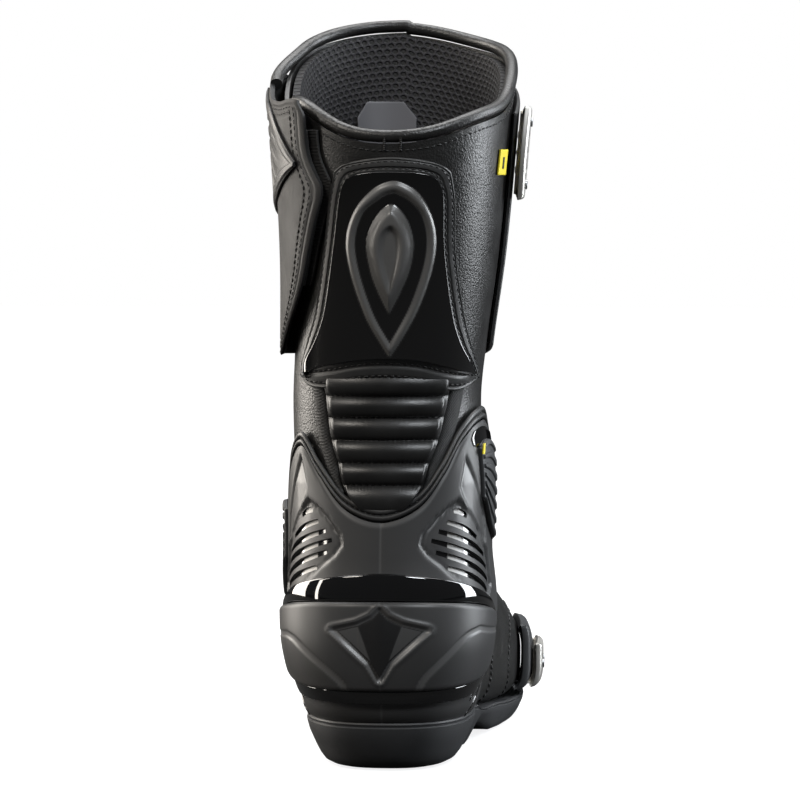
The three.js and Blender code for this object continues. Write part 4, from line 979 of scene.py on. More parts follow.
def frame_tone(u, v):
    a, z = frame_outline(u, v)
    x = np.abs(a) * MM_PER_DEGREE
    blade = depth_inside(x, z, measured(BLADE))
    tip = ease(blade, 0, 0.5) * ease(z, 133.6, 134.4)
    parting = ease(x, 0.5, 0.2)
    edge = ease(blade, -0.5, 0) * ease(blade, 0.5, 0.1)
    return 0.45 * parting + 0.5 * edge * (1 - tip), np.maximum(tip, 0.35 * ease(blade, 0.2, 0.8))


frame_piece = panel("ankle_shell", laid(frame_outline), 300, 110, frame_height, 2.4, 0, tone=frame_tone)


def slot_cutter():
    """All twelve slots as one cutting tool of rounded bars."""
    tools = []
    for sign in (-1, 1):
        for (a0, z0), (a1, z1) in SLOTS:
            t = np.linspace(0, 1, 12)
            bow = 0.9 * np.sin(np.pi * t)
            p, n = on_leg(sign * (a0 + (a1 - a0) * t), z0 + (z1 - z0) * t + bow)
            taper = 1.5 * np.sin(np.pi * np.linspace(0.13, 0.87, 12)) ** 0.35
            tool = cord("slot_tool", p + n * 2.4, n, taper, 12)
            co = points_of(tool) / MM
            nearest = np.linalg.norm(co[:, None] - p[None], axis=2).argmin(1)
            reach = ((co - p[nearest]) * n[nearest]).sum(1) - 2.4
            move_points(tool, (co + n[nearest] * (reach * 2.6)[:, None]) * MM)
            tools.append(tool)
    activate(tools[0])
    for tool in tools:
        tool.select_set(True)
    bpy.ops.object.join()
    return bpy.context.object


cutter = slot_cutter()
finish_modifier(frame_piece, "BOOLEAN", object=cutter, operation="DIFFERENCE", solver="EXACT")
bpy.data.objects.remove(cutter)
smooth(frame_piece, 32)
dress(frame_piece, CHARCOAL, "foot", ("ankle_frame",))
print("frame after cutting:", len(frame_piece.data.polygons))

# %% Gloss inserts behind the slots
def leaf_place(sign):
    low = [(sign * 19, 101), (sign * 34, 86), (sign * 55, 77), (sign * 80, 76)]
    high = [(sign * 20, 112), (sign * 36, 124), (sign * 54, 122), (sign * 78, 102)]
    return strip_of(low, high)


for label, sign in (("medial", -1), ("lateral", 1)):
    insert = panel(f"vent_{label}", leaf_place(sign), 120, 30, 1.5, 0.8, 0.2,
                   tone=lambda u, v: (ease(u, 0.30, 0.305) * ease(u, 0.52, 0.515), 0))
    dress(insert, VENT, "foot", (f"vent_insert_{label}",))

# %% Padded trim along the frame's top edge
def trim_place(u, v):
    edge = FRAME_TOP(0.06 + 0.88 * u)
    return on_leg(edge[:, 0], edge[:, 1] + 0.6 + 6.2 * v)


def trim_height(u, v):
    lips = ridge((v - 0.25) * 6.2, 1.5, 1.5) + ridge((v - 0.74) * 6.2, 1.5, 1.2)
    return 2.3 + lips - 0.4 * ridge((v - 0.5) * 6.2, 0.6, 1)


trim = panel("frame_trim", trim_place, 260, 26, trim_height, 1.9, 0.2)
dress(trim, TRIM, "foot", ("frame_collar",))
edge = FRAME_TOP(np.linspace(0.10, 0.90, 420))
sew("trim_stitches", [raised_line(on_leg, edge[:, 0], edge[:, 1] + 3.7, 2.3)], "foot", length=1.9,
    pitch=2.8, radius=0.36)

# %% [markdown]
# ## Heel guard
# A thick cap takes the knocks at the heel. A kite-shaped badge sits in a bevelled window at its middle,
# with two bent satin lines either side, and lacquered bands run above and below it.

# %% Guard, badge and bands
GUARD_LOW = through([(-88, 61), (-80, 54), (-66, 47.5), (-46, 42.3), (-24, 40.3), (0, 40), (24, 40.3),
                     (46, 42.3), (66, 48), (80, 54.5), (88, 60)])
GUARD_HIGH = through([(-88, 66), (-80, 69.5), (-66, 73.4), (-46, 77), (-24, 79.2), (0, 80), (24, 79.2),
                      (46, 77), (66, 73.4), (80, 69), (88, 65)])
KITE = [(0.3, 76), (3.4, 72.6), (9.5, 69.4), (18.8, 66.8), (4.6, 53.4), (0.3, 46.2), (-4.0, 53.4),
        (-18.2, 66.8), (-8.9, 69.4), (-2.8, 72.6)]
KITE_MIDDLE, KITE_SHOULDER, KITE_HALF = 0.3, 66.8, 17.2
STRIPES = [[(-58, 60.3), (-48.3, 61.3), (-38.5, 63.4), (-35, 62), (-18.5, 47.6), (-15.5, 44.6), (-13, 38)],
           [(53, 54), (50.8, 58), (47.5, 62.6), (38.5, 66.4), (34.5, 64.5), (19, 47.6), (17, 44.6), (15, 38)]]
guard_place = laid(between(GUARD_LOW, GUARD_HIGH))


def guard_height(u, v):
    x, z = flat_place(guard_place, u, v)
    height = 8.2 - roll(u, v, 140, 38, 2.6) * 0.8 - 1.6 * (1 - ease(1 - np.abs(2 * u - 1), 0, 0.12))
    kite = depth_inside(x, z, KITE)
    height -= 2.4 * ease(np.abs(2 * u - 1), 0.45, 0.95)
    height += 0.5 * ease(kite, -4.2, -2.2) - 2.0 * ease(kite, -2.4, -0.1)
    for line in STRIPES:
        height -= 0.35 * (1 - ease(line_distance(x, z, line), 0.9, 1.5))
    return height - ridge(x - KITE_MIDDLE, 0.4, 0.16) * (kite < -2)


def guard_tone(u, v):
    x, z = flat_place(guard_place, u, v)
    kite = depth_inside(x, z, KITE)
    stripe = ease(np.minimum(*(line_distance(x, z, line) for line in STRIPES)), 1.5, 1.0)
    parting = 0.5 * ease(np.abs(x - KITE_MIDDLE), 0.5, 0.2) * (kite < -2)
    satin = np.maximum(np.maximum(0.7 * stripe, parting), 0.8 * ease(kite, -2.6, -2.1))
    return satin * ease(kite, 0.3, -0.1), ease(kite, -0.1, 0.4)


guard = panel("heel_cap", guard_place, 300, 86, guard_height, 2.8, 0.3, tone=guard_tone)
dress(guard, CHARCOAL, "foot", ("heel_guard",))


def kite_place(u, v):
    """Kite badge: columns across, rows from its lower edge to its upper edge."""
    top = np.array(sorted(p for p in KITE if p[1] >= KITE_SHOULDER))
    low = np.array(sorted(p for p in KITE if p[1] <= KITE_SHOULDER))
    x = KITE_MIDDLE + (u - 0.5) * 2 * KITE_HALF
    high, foot = np.interp(x, top[:, 0], top[:, 1]) - 0.7, np.interp(x, low[:, 0], low[:, 1]) + 1.0
    return on_back(x, foot + (high - foot) * v)


def badge_height(u, v):
    x = (u - 0.5) * 2 * KITE_HALF
    return 7.0 + 1.3 * ease(9.0 - np.abs(x), 0, 9) + 0.25 * ease(np.abs(x), 9.6, 9.0)


def badge_tone(u, v):
    x, z = flat_place(kite_place, u, v)
    x = np.abs(x - KITE_MIDDLE)
    middle = 3.6 + (z - 53.4) * 0.36
    return 0.25 * ease(x, middle, middle + 0.5), ease(x, middle + 0.4, middle)


badge = panel("heel_kite", kite_place, 90, 40, badge_height, 0.8, 0.2, tone=badge_tone)
dress(badge, CHARCOAL, "foot", ("heel_badge",))

BAND_LOW = through([(-84, 46), (-66, 38.5), (-46, 34.2), (-24, 33.4), (0, 33.2), (24, 33.4), (44, 34.2),
                    (62, 38.5), (80, 48)])
BAND_LOW_TOP = through([(-84, 55), (-66, 46.5), (-46, 42.2), (-24, 40.6), (0, 40.2), (24, 40.6), (44, 42.4),
                        (62, 48.5), (80, 57)])
BAND_HIGH = through([(-86, 66), (-66, 73), (-42, 77.5), (0, 79.6), (42, 77.5), (66, 73), (86, 65.5)])
BAND_HIGH_TOP = through([(-86, 69), (-66, 77), (-42, 86.5), (-22, 91), (0, 93.2), (22, 91), (42, 86.5),
                         (66, 78.5), (86, 68)])
for label, low, high, steps in (("heel_band_lower", BAND_LOW, BAND_LOW_TOP, 24),
                                ("heel_band_upper", BAND_HIGH, BAND_HIGH_TOP, 30)):
    band = panel(label.replace("heel_", "gloss_"), laid(between(low, high)), 200, steps,
                 lambda u, v: 5.6 - 1.5 * roll(u, v, 130, 12, 1.2) + 0.5 * np.sin(np.pi * v), 1.5, 0.2)
    dress(band, GLOSS, "foot", (label,))


# %% Lacquered windows low on each side
def window_place(sign, lift):
    low = [(sign * 50, 31 + lift), (sign * 62, 34 + lift), (sign * 78, 41 + lift)]
    high = [(sign * 51, 33 + lift), (sign * 63, 39 + lift), (sign * 77, 44 + lift)]
    return strip_of(low, high)


for label, sign in (("medial", -1), ("lateral", 1)):
    for number, lift in enumerate((0, -6.5)):
        window = panel(f"side_window_{label}_{number}", window_place(sign, lift), 40, 10,
                       lambda u, v: 4.3 - roll(u, v, 26, 4, 0.8), 0.9, 0.15)
        dress(window, GLOSS, "foot")


# %% [markdown]
# ## Ankle-bone guards
# Soft ribbed rubber sits over each ankle bone, where the boots rub the frame of the motorcycle.

# %% Ribbed rubber guards
def bone_place(sign, lift, turn):
    low, high = ([(sign * (a + turn), z + lift) for a, z in line] for line in (
        ((60, 127), (70, 113), (84, 105)), ((59, 150), (71, 154), (86, 149))))
    return strip_of(low, high)


def bone_height(u, v):
    ribs = 0.9 * ease(np.sin(v * 2 * np.pi * 6.5), -0.2, 0.5) * ease(np.minimum(u, 1 - u) * 22, 1.6, 2.6)
    return 5.6 - roll(u, v, 22, 34, 1.6) + ribs


for label, sign, lift, turn in (("medial", -1, -30, 14), ("lateral", 1, 0, 0)):
    bone = panel(f"bone_guard_{label}", bone_place(sign, lift, turn), 60, 90, bone_height, 1.6, 0.2)
    dress(bone, RUBBER, "foot", (f"ankle_bone_guard_{label}",))
hexagon = framed(through([(54, 151), (68, 149), (84, 150)]), through([(56, 158.5), (68, 160.5), (82, 157)]),
                 through([(54, 151), (52.5, 155), (56, 158.5)]), through([(84, 150), (86, 153), (82, 157)]))
block = panel("gloss_hexagon", laid(hexagon), 40, 20, lambda u, v: 4.5 - roll(u, v, 28, 9, 1.2) * 0.7,
              0.9, 0.2)
dress(block, GLOSS, "foot")
mark_place = strip_of([(58.5, 147), (60.5, 147)], [(60.5, 152), (62.5, 152)])
mark = panel("yellow_mark", mark_place, 6, 10, 6.6, 0.7, 0.15)
dress(mark, YELLOW, "foot")

# %% [markdown]
# ## Shin plate and upper slider
# The shin plate is a wide curved shield, stitched round its edge, with a shallow centre ridge and two
# flutes. The aluminium slider on the outer side takes the scrape of the road and is held by two screws.

# %% Shin plate
shin_place = strip_of([(-118, 205), (-150, 193), (-182, 188), (-222, 190), (-268, 198)],
                      [(-112, 314), (-150, 332), (-182, 340), (-222, 329), (-277, 309)])


def shin_height(u, v):
    middle = 1 - ease(np.abs(u - 0.42), 0.0, 0.16)
    flutes = sum(ridge((u - at) * 150 + 14 * (v - 0.5), 2.2, 1.0) * ease(v, 0.1, 0.25) * ease(v, 0.92, 0.75)
                 for at in (0.2, 0.64))
    crest = 1.2 * middle * ease(v, 0.05, 0.3) * ease(v, 0.98, 0.8)
    return 3.3 - 0.8 * roll(u, v, 150, 125, 2.0) + crest - flutes


shin = panel("shin_shield", shin_place, 190, 130, shin_height, 2.6, 0.3)
dress(shin, SHELL, "shaft", ("shin_plate",))
across, up = np.linspace(0.02, 0.98, 300), np.linspace(0.03, 0.97, 200)
shin_rows = [raised_line(shin_place, across, 0 * across + v, 2.8) for v in (0.025, 0.975)]
shin_rows += [raised_line(shin_place, 0 * up + u, up, 2.8) for u in (0.016, 0.984)]
sew("shin_stitches", shin_rows, "shaft")


# %% Screws and metal sliders
def screw(name, at, normal, rise, radius=2.3, node_name=None, body="shaft"):
    """A countersunk socket screw: a cylinder whose top is inset and sunk."""
    obj = primitive(bpy.ops.mesh.primitive_cylinder_add, name, vertices=32, radius=radius, depth=1.3)
    mesh = bmesh.new()
    mesh.from_mesh(obj.data)
    top = max(mesh.faces, key=lambda f: f.calc_center_median().z)
    bmesh.ops.inset_region(mesh, faces=[top], thickness=radius * 0.5)
    for vertex in top.verts:
        vertex.co.z -= 0.8
    mesh.to_mesh(obj.data)
    mesh.free()
    obj.data.update()
    finish_modifier(obj, "BEVEL", width=0.22, segments=2, limit_method="ANGLE", angle_limit=0.8)
    turn = Vector(normal).to_track_quat("Z", "Y").to_matrix().to_4x4()
    obj.data.transform(Matrix.Scale(MM, 4) @ Matrix.Translation(Vector(at) + Vector(normal) * rise) @ turn)
    smooth(obj, 30)
    return dress(obj, STEEL, body, (node_name,) if node_name else ())


def shin_slide(u, v):
    degrees = -271 + (u - 0.5) * (0.75 + 0.25 * np.sin(np.pi * v)) * 22 * PER_MM
    return on_leg(degrees, 268 + 45 * v)


def slider_height(u, v):
    grooves = sum(ridge((v - at) * 45, 1.0, 0.5) for at in (0.32, 0.5, 0.68))
    return 9.4 - roll(u, v, 22, 45, 2.6) - grooves * ease(np.minimum(u, 1 - u), 0.12, 0.2)


slider = panel("shin_slider_metal", shin_slide, 40, 80, slider_height, 4.9, 0.25)
dress(slider, METAL, "shaft", ("shin_slider",))
for label, share in (("low", 0.17), ("high", 0.83)):
    p, n = shin_slide(np.array([0.5]), np.array([share]))
    screw(f"shin_screw_{label}", p[0], n[0], 9.7, node_name=f"shin_slider_screw_{label}")

# %% [markdown]
# ## Zip
# The opening runs down the inner side. Each half is a woven tape with a row of moulded teeth, and the
# slider carries a pull tab that hangs free. The teeth are one small block, repeated.

# %% Tapes and teeth
TEETH = 56


def zip_strip(side, near, far):
    def place(u, v):
        z = ZIP_FOOT[1] + (ZIP_TOP[1] - ZIP_FOOT[1]) * v
        return on_leg(zip_at(z) + side * (near + (far - near) * u) * PER_MM, z)

    return place


def tooth_row(name, side):
    """Teeth along the slit, each a bevelled cube primitive turned to the surface."""
    cube = primitive(bpy.ops.mesh.primitive_cube_add, "tooth", size=1)
    finish_modifier(cube, "BEVEL", width=0.18, segments=1)
    co, faces = points_of(cube), [tuple(f.vertices) for f in cube.data.polygons]
    activate(cube)
    bpy.ops.object.delete()
    z = np.linspace(ZIP_FOOT[1] + 1.0, ZIP_TOP[1] - 1.0, TEETH) + side * 0.43
    p, n = on_leg(zip_at(z) + side * 1.2 * PER_MM, z)
    q, _ = on_leg(zip_at(z + 1) + side * 1.2 * PER_MM, z + 1)
    way = (q - p) / np.linalg.norm(q - p, axis=1, keepdims=True)
    across = np.cross(way, n)
    teeth = [p[k] - n[k] * 1.1 + co[:, 0:1] * across[k] * 3.0 + co[:, 1:2] * way[k] * 0.95
             + co[:, 2:3] * n[k] * 1.5 for k in range(TEETH)]
    obj = repeated(name, teeth, faces)
    smooth(obj, 30)
    return dress(obj, DARK, "shaft")


for label, side in (("rear", 1), ("front", -1)):
    tape = panel(f"zip_side_{label}", zip_strip(side, 0.3, 9.0), 8, 90, -2.4, 0.6, 0.15)
    dress(tape, TAPE, "shaft", (f"zip_tape_{label}",))
    tooth_row(f"zip_teeth_{label}", side)

# %% Zip slider and pull
def zip_frame():
    """Origin at the slider's place, with axes across, along the zip and out."""
    z = np.array([ZIP_TOP[1] - 11, ZIP_FOOT[1] + 11])
    p, n = on_leg(zip_at(z), z)
    p = p + n * 0.95
    along = Vector(p[1] - p[0]).normalized()
    out = (Vector(n[0]) - along * Vector(n[0]).dot(along)).normalized()
    across = along.cross(out)
    return Matrix.Translation(p[0]) @ Matrix((across, along, out)).transposed().to_4x4()


def plate(name, wide, long, thick, corner, at, hole=0.0):
    """A flat rounded plate, from a cube primitive with its corners bevelled."""
    obj = primitive(bpy.ops.mesh.primitive_cube_add, name, size=1)
    obj.data.transform(Matrix.Diagonal((wide, long, thick, 1)))
    mesh = bmesh.new()
    mesh.from_mesh(obj.data)
    upright = [e for e in mesh.edges if abs(e.verts[0].co.z - e.verts[1].co.z) > thick / 2]
    bmesh.ops.bevel(mesh, geom=upright, offset=corner, segments=6, affect="EDGES", profile=0.5)
    mesh.to_mesh(obj.data)
    mesh.free()
    finish_modifier(obj, "BEVEL", width=min(0.25, thick / 4), segments=2, limit_method="ANGLE",
                    angle_limit=0.9)
    obj.data.transform(Matrix.Translation(at))
    if hole:
        bpy.ops.mesh.primitive_cylinder_add(vertices=24, radius=hole, depth=thick * 4,
                                            location=(at[0], at[1] + long / 2 - hole - 1.2, at[2]))
        drill = bpy.context.object
        finish_modifier(obj, "BOOLEAN", object=drill, operation="DIFFERENCE", solver="EXACT")
        bpy.data.objects.remove(drill)
    obj.data.transform(Matrix.Scale(MM, 4) @ zip_frame())
    smooth(obj, 30)
    return obj


runner = plate("zip_runner_body", 8, 11, 1.4, 2.2, (0, 0, 0.7))
dress(runner, METAL, "zip_runner", ("zip_slider",))
pull = plate("zip_pull_tab", 6, 22, 0.8, 2.4, (0, 12.5, 2.2), hole=1.5)
dress(pull, METAL, "zip_tab", ("zip_pull",))

# %% [markdown]
# ## Closure flap
# A stiff microfibre flap folds back over the zip from its sewn root and is held by hook-and-loop tape.
# Its edge is bound and stitched, and a ribbed wing pad is moulded on its outside.

# %% Flap, tapes and wing pad
FLAP_ROOT, FLAP_FOOT = -106.0, 193
FLAP_REAR = through([(-78, 193), (-68, 195.5), (-56, 206), (-45.5, 219), (-39, 231), (-34.5, 245),
                     (-30, 259), (-26.5, 269), (-26.2, 275), (-29, 281), (-32.4, 289), (-33.5, 300),
                     (-34, 325)])
SAMPLES = FLAP_REAR(np.linspace(0, 1, 200))


def flap_edge(z):
    return np.interp(z, SAMPLES[:, 1], SAMPLES[:, 0])


def flap_place(u, v):
    a = np.full(u.shape, -80.0)
    for _ in range(5):
        top = rim_height(a) + 4.5 * ease(a, -52, -36) + 1.2 - 4.4 * ease(a, -94, -104)
        z = FLAP_FOOT + (top - FLAP_FOOT) * v
        corner = 6.0 * (1 - ease(v, 1.0, 0.95)) * 0.9
        a = FLAP_ROOT + (flap_edge(z) - corner * 0.6 - FLAP_ROOT) * u
    return on_leg(a, z), a


def flap_at(u, v):
    return flap_place(u, v)[0]


def flap_height(u, v):
    a = flap_place(u, v)[1]
    rise = 0.5 + 4.4 * ease(a, FLAP_ROOT, FLAP_ROOT + 9)
    edge = np.minimum(np.minimum((1 - u) * 62, v * 110), (1 - v) * 110)
    bound = ridge(edge - 2.6, 0.5, 0.4) + ridge(edge - 6.4, 0.5, 0.3)
    return rise + 2.4 - bound - 0.7 * (1 - ease(edge, 0, 1.4))


flap = panel("closure_wing", flap_at, 90, 150, flap_height, 2.2, 0.3)
dress(flap, SUEDE, "flap", ("closure_flap",))
flap_rows = []
up = np.linspace(0.03, 0.97, 260)
for inset in (0.07, 0.11):
    across = np.linspace(0.16, 1 - inset, 100)
    flap_rows += [raised_line(flap_at, 0 * up + 1 - inset, up, 7.15),
                  raised_line(flap_at, across, 0 * across + 1 - inset * 0.45, 7.15)]
sew("flap_stitches", flap_rows, "flap")


def tape_place(start, low, high):
    def place(u, v):
        z = FLAP_FOOT + (rim_height(-40) - 2 - FLAP_FOOT) * (0.3 + 0.63 * v)
        end = low + (high - low) * v
        return on_leg(flap_edge(z) + (start + (end - start) * u) * PER_MM, z)

    return place


hook = panel("hook_strip", tape_place(-14, -1.5, -1.5), 20, 80, 4.4, 1.6, 0.2)
dress(hook, TAPE, "flap", ("flap_hook_tape",))
loop = panel("loop_strip", tape_place(-11, 1, 3), 20, 80,
             lambda u, v: 2.0 + 0.15 * np.sin(u * 90) * np.sin(v * 300), 1.4, 0.2)
dress(loop, TAPE, "shaft", ("loop_tape",))

pad_place = strip_of([(-91, 261), (-76, 266), (-62, 270), (-38.5, 284)],
                     [(-91, 322), (-76, 316), (-60, 309), (-38, 286.5)])


def pad_height(u, v):
    across = (v - 0.5) * 50 * (1 - u * 0.9)
    frame_part = np.minimum(np.minimum(v, 1 - v) * 56 * (1 - 0.92 * u), u * 46)
    ribs = 0.6 * ease(np.sin((across + u * 10) * 1.35), -0.2, 0.6) * ease(frame_part, 3.0, 4.4)
    rim = 0.7 * ease(frame_part, 0.0, 1.2) * ease(frame_part, 4.2, 2.8)
    return 8.5 + rim + ribs * (1 - ease(u, 0.62, 0.8)) + 0.4 * ease(u, 0.6, 0.9)


pad = panel("wing_pad", pad_place, 90, 100, pad_height, 1.1, 0.2)
dress(pad, SHELL, "flap", ("flap_wing_pad",))

# %% [markdown]
# ## Small trim
# A yellow size tag is sewn to the outer side, a label to the lining, and two bar tacks lock the seam at
# the back.

# %% Tag, label and bar tacks
tag_place = strip_of([(59.5, 279.5), (73, 279.5)], [(60.5, 291.5), (74, 291.5)])
tag = panel("side_tag", tag_place, 16, 16, 1.3, 0.8, 0.15)
dress(tag, YELLOW, "shaft", ("size_tag",))
mark_place = strip_of([(64, 282.5), (66.5, 282.5)], [(64.5, 288), (67, 288)])
glyph = panel("tag_mark", mark_place, 6, 8, 1.5, 0.2, 0)
dress(glyph, DARK, "shaft")


def label_place(u, v):
    a = 192 + (u - 0.5) * 31 * (1 - 0.4 * np.clip((v - 0.62) / 0.38, 0, 1))
    return on_leg(a, 293 + 21 * v)


label_piece = panel("lining_badge", label_place, 30, 24, -8.6, 0.9, 0.15)
dress(label_piece, LABEL, "shaft", ("lining_label",))
tack_heights = np.linspace(290.8, 297.2, 30)
tacks = [raised_line(on_leg, np.full(30, a), tack_heights, 0.2) for a in (-1.5, 5.0)]
sew("bar_tacks", tacks, "shaft", length=1.3, pitch=0.9, radius=0.8)


# %% [markdown]
# ## Instep panel
# The front of the ankle folds the most, so it has the same foam ribs as the heel tendon, but wider.

# %% Instep ribs
def instep_place(u, v):
    return on_ankle(180 + (u - 0.5) * 68 * (1 - 0.18 * v), 1 + 61 * v)


def instep_height(u, v):
    ribs = np.abs(np.sin(np.pi * v * 6)) ** 0.55 * 3.6
    return 1.6 + ribs * (0.15 + 0.85 * ease(np.minimum(u, 1 - u) * 60, 0, 3.5))


instep = panel("instep_ribs", instep_place, 80, 130, instep_height, 1.4, 0.3)
dress(instep, QUILT, nodes=("instep_panel",))
bend_at_ankle(instep)
across = np.linspace(0.08, 0.92, 60)
instep_rows = [raised_line(instep_place, across, 0 * across + k / 6, 1.9) for k in range(1, 6)]
bend_at_ankle(sew("instep_stitches", instep_rows))

# %% [markdown]
# ## Toe
# The vamp is plain leather with stitched seams, a moulded cap round the toe, a ribbed rubber pad where the
# gear lever presses and a screwed-on aluminium slider on the outer side.

# %% Toe cap
def cap_place(u, v):
    a = np.radians(-112 + 190 * u)
    high = 30 + 7 * np.sin(np.pi * u)
    height = sole_top(TOE_START) + 1.0 + high * v
    return cast(stack(foot_middle(TOE_START) + 0 * a, TOE_START + 0 * a, height),
                stack(np.sin(a), np.cos(a), 0 * a))


def cap_height(u, v):
    groove = ridge((v - 0.72) * 36, 0.8, 0.6) * ease(np.minimum(u, 1 - u), 0.03, 0.06)
    return 3.0 - 0.8 * roll(u, v, 170, 36, 1.6) - groove


cap = panel("toe_shell", cap_place, 200, 50, cap_height, 1.6, 0.2)
dress(cap, SHELL, "foot", ("toe_cap",))

# %% Seams of the vamp
HEEL_SEAM = [(40, 78), (75, 74), (110, 82), (135, 96), (148, 112)]
TOE_SEAM = [(56, 128), (80, 122), (105, 132), (118, 152), (112, 172)]
vamp_rows = [line_on_leg([(side * a, y + step) for a, y in HEEL_SEAM], 120, 0.1, on_foot)
             for side in (-1, 1) for step in (0, 3)]
vamp_rows += [line_on_leg([(side * a, y) for a, y in TOE_SEAM], 120, 0.1, on_foot) for side in (-1, 1)]
sew("vamp_stitches", vamp_rows, "foot")

# %% Lever pad
def lever_place(u, v):
    return on_foot(176 + 50 * u, 150 + 46 * v)


def lever_height(u, v):
    from_edge = np.minimum(np.minimum(u, 1 - u) * 40, np.minimum(v, 1 - v) * 46)
    ribs = 0.9 * ease(np.sin((v * 46 + u * 12) * 1.5), -0.1, 0.6)
    return 1.9 - 0.7 * roll(u, v, 40, 46, 1.4) + ribs * ease(from_edge, 2.4, 3.6)


lever = panel("lever_patch", lever_place, 70, 90, lever_height, 1.3, 0.2)
dress(lever, RUBBER, "foot", ("lever_pad",))

# %% Toe slider
MOUNT_LOW = float(sole_top(175)) + 1.2


def side_place(low, high, start, end, crown=0.0):
    """Places on the outer side of the forefoot, offset straight outwards."""
    def place(u, v):
        y = start + (end - start) * u
        z = low + (high - low) * v + crown * np.sin(np.pi * u) * v
        p, _ = cast(stack(foot_middle(y), y, z), stack(1 + 0 * y, 0 * y, 0 * y))
        return p, np.broadcast_to(np.array([1.0, 0, 0]), p.shape)

    return place


mount = panel("toe_mount_pad", side_place(MOUNT_LOW, MOUNT_LOW + 34, 149, 197, 3), 60, 50,
              lambda u, v: 6.5 - 1.4 * roll(u, v, 48, 36, 2.4), 4.4, 0.3)
dress(mount, RUBBER, "foot", ("toe_slider_mount",))
toe_place = side_place(MOUNT_LOW + 1, MOUNT_LOW + 24, 154, 192, 1)


def toe_plate_height(u, v):
    groove = ridge((v - 0.5) * 23, 1.2, 0.7) * ease(np.abs(u - 0.5), 0.2, 0.16)
    return 12.0 - roll(u, v, 38, 23, 2.6) - groove


toe_plate = panel("toe_slider_metal", toe_place, 60, 40, toe_plate_height, 4.8, 0.25)
dress(toe_plate, METAL, "foot", ("toe_slider_plate",))
for label, share in (("rear", 0.2), ("front", 0.8)):
    p, n = toe_place(np.array([share]), np.array([0.5]))
    screw(f"toe_screw_{label}", p[0], n[0], 12.3, node_name=f"toe_slider_screw_{label}", body="foot")

# %% [markdown]
# ## Sole unit
# The sole is moulded rubber: a tall smooth heel cup, an arched waist and a flat forefoot that curls up at
# the toe. It is lofted from rings of the same outline, drawn in and lowered step by step.

# %% Outline of the sole
def sole_loop(count=64):
    """Points round the foot at the feather edge, from the heel round the outer side to the toe and back."""
    def ray(x, y, station_y, a):
        centre = stack(x + 0 * a, y + 0 * a, station(FOOT, 3, station_y) + 9 + 0 * a)
        return cast(centre, stack(np.sin(a), -np.cos(a), 0 * a))[0]

    heel_turn, toe_turn = (np.radians(np.linspace(start, start + 90, count // 2)) for start in (0, 90))
    heel, heel_back = (ray(0, LEG_CENTRE, 0, a) for a in (heel_turn, -heel_turn[::-1]))
    toe_x = foot_middle(TOE_START)
    toe, toe_back = (ray(toe_x, TOE_START, TOE_START, a) for a in (toe_turn, -toe_turn[::-1]))
    y = np.linspace(17, 198, count)
    outer, inner = (ray(foot_middle(y), y, y, np.radians(turn) + 0 * y) for turn in (90, -90))
    loop = np.concatenate([heel, outer[1:-1], toe, toe_back[1:], inner[-2:0:-1], heel_back[:-1]])
    for _ in range(6):
        loop = (np.roll(loop, 1, 0) + 2 * loop + np.roll(loop, -1, 0)) / 4
    return loop


def grown(loop, distance):
    way = np.roll(loop, -1, 0) - np.roll(loop, 1, 0)
    way[:, 2] = 0
    way /= np.linalg.norm(way, axis=1, keepdims=True)
    out = np.stack([way[:, 1], -way[:, 0], 0 * way[:, 0]], -1)
    return loop + out * np.reshape(distance, (-1, 1))


def tread(y):
    return np.interp(y, [44, 52, 64, 100, 120, 185, 230, 272], [0, 9, 9, 1, 0, 0, 3.5, 9])


def heel_share(y):
    return np.clip((64 - y) / 30, 0, 1)


# %% Loft of the sole
SOLE = sole_loop()
# Each ring: how far it stands out, what the heel adds to that, its height between the tread (0) and the
# feather edge (1), and a rise in millimetres.
SOLE_STEPS = [
    (-6, -10, 0.0, 0), (-3.6, -7.4, 0.0, 0), (-2.6, -5.6, 0.02, 0.25), (-1.6, -4.2, 0.10, 0),
    (-0.6, -3.2, 0.24, 0), (0.4, -2.4, 0.42, 0), (1.2, -1.5, 0.62, 0), (2.2, -0.7, 0.84, 0),
    (2.6, -0.2, 1.02, 0), (2.7, 0, 1.10, 0), (1.9, 0, 1.13, 0), (2.0, 0, 1.16, 0),
    (2.5, 0, 1.2, 0), (1.9, 0, 1.24, 0), (0.4, 0, 1.25, 0), (-1.2, 0, 1.2, 0)]


def sole_rings():
    y = SOLE[:, 1]
    feather, low, heel = station(FOOT, 3, np.maximum(y, -20)), tread(y), heel_share(y)
    rings = []
    for grow, at_heel, share, extra in SOLE_STEPS:
        ring = grown(SOLE, grow + at_heel * heel)
        ring[:, 2] = low + (feather - low) * share + extra
        rings.append(ring)
    return np.array(rings)


def loft(name, rings):
    """A closed solid through rings of equal length, with a flat cap on the first and the last."""
    obj = primitive(bpy.ops.mesh.primitive_grid_add, name, x_subdivisions=rings.shape[1],
                    y_subdivisions=rings.shape[0] - 1, size=1)
    flat = points_of(obj)
    i = np.rint((flat[:, 0] + 0.5) * rings.shape[1]).astype(int) % rings.shape[1]
    j = np.rint((flat[:, 1] + 0.5) * (rings.shape[0] - 1)).astype(int)
    move_points(obj, rings[j, i] * MM)
    edit(obj, lambda: bpy.ops.mesh.remove_doubles(threshold=1e-6),
         lambda: (bpy.ops.mesh.select_all(action="DESELECT"), bpy.ops.mesh.select_non_manifold(),
                  bpy.ops.mesh.edge_face_add(), bpy.ops.mesh.quads_convert_to_tris()),
         lambda: bpy.ops.mesh.select_all(action="SELECT"),
         lambda: bpy.ops.mesh.normals_make_consistent(inside=False))
    return obj


sole = loft("sole_unit", sole_rings())
smooth(sole, 32)
dress(sole, RUBBER, "foot", ("outsole",))
print("sole:", len(sole.data.polygons), "faces")

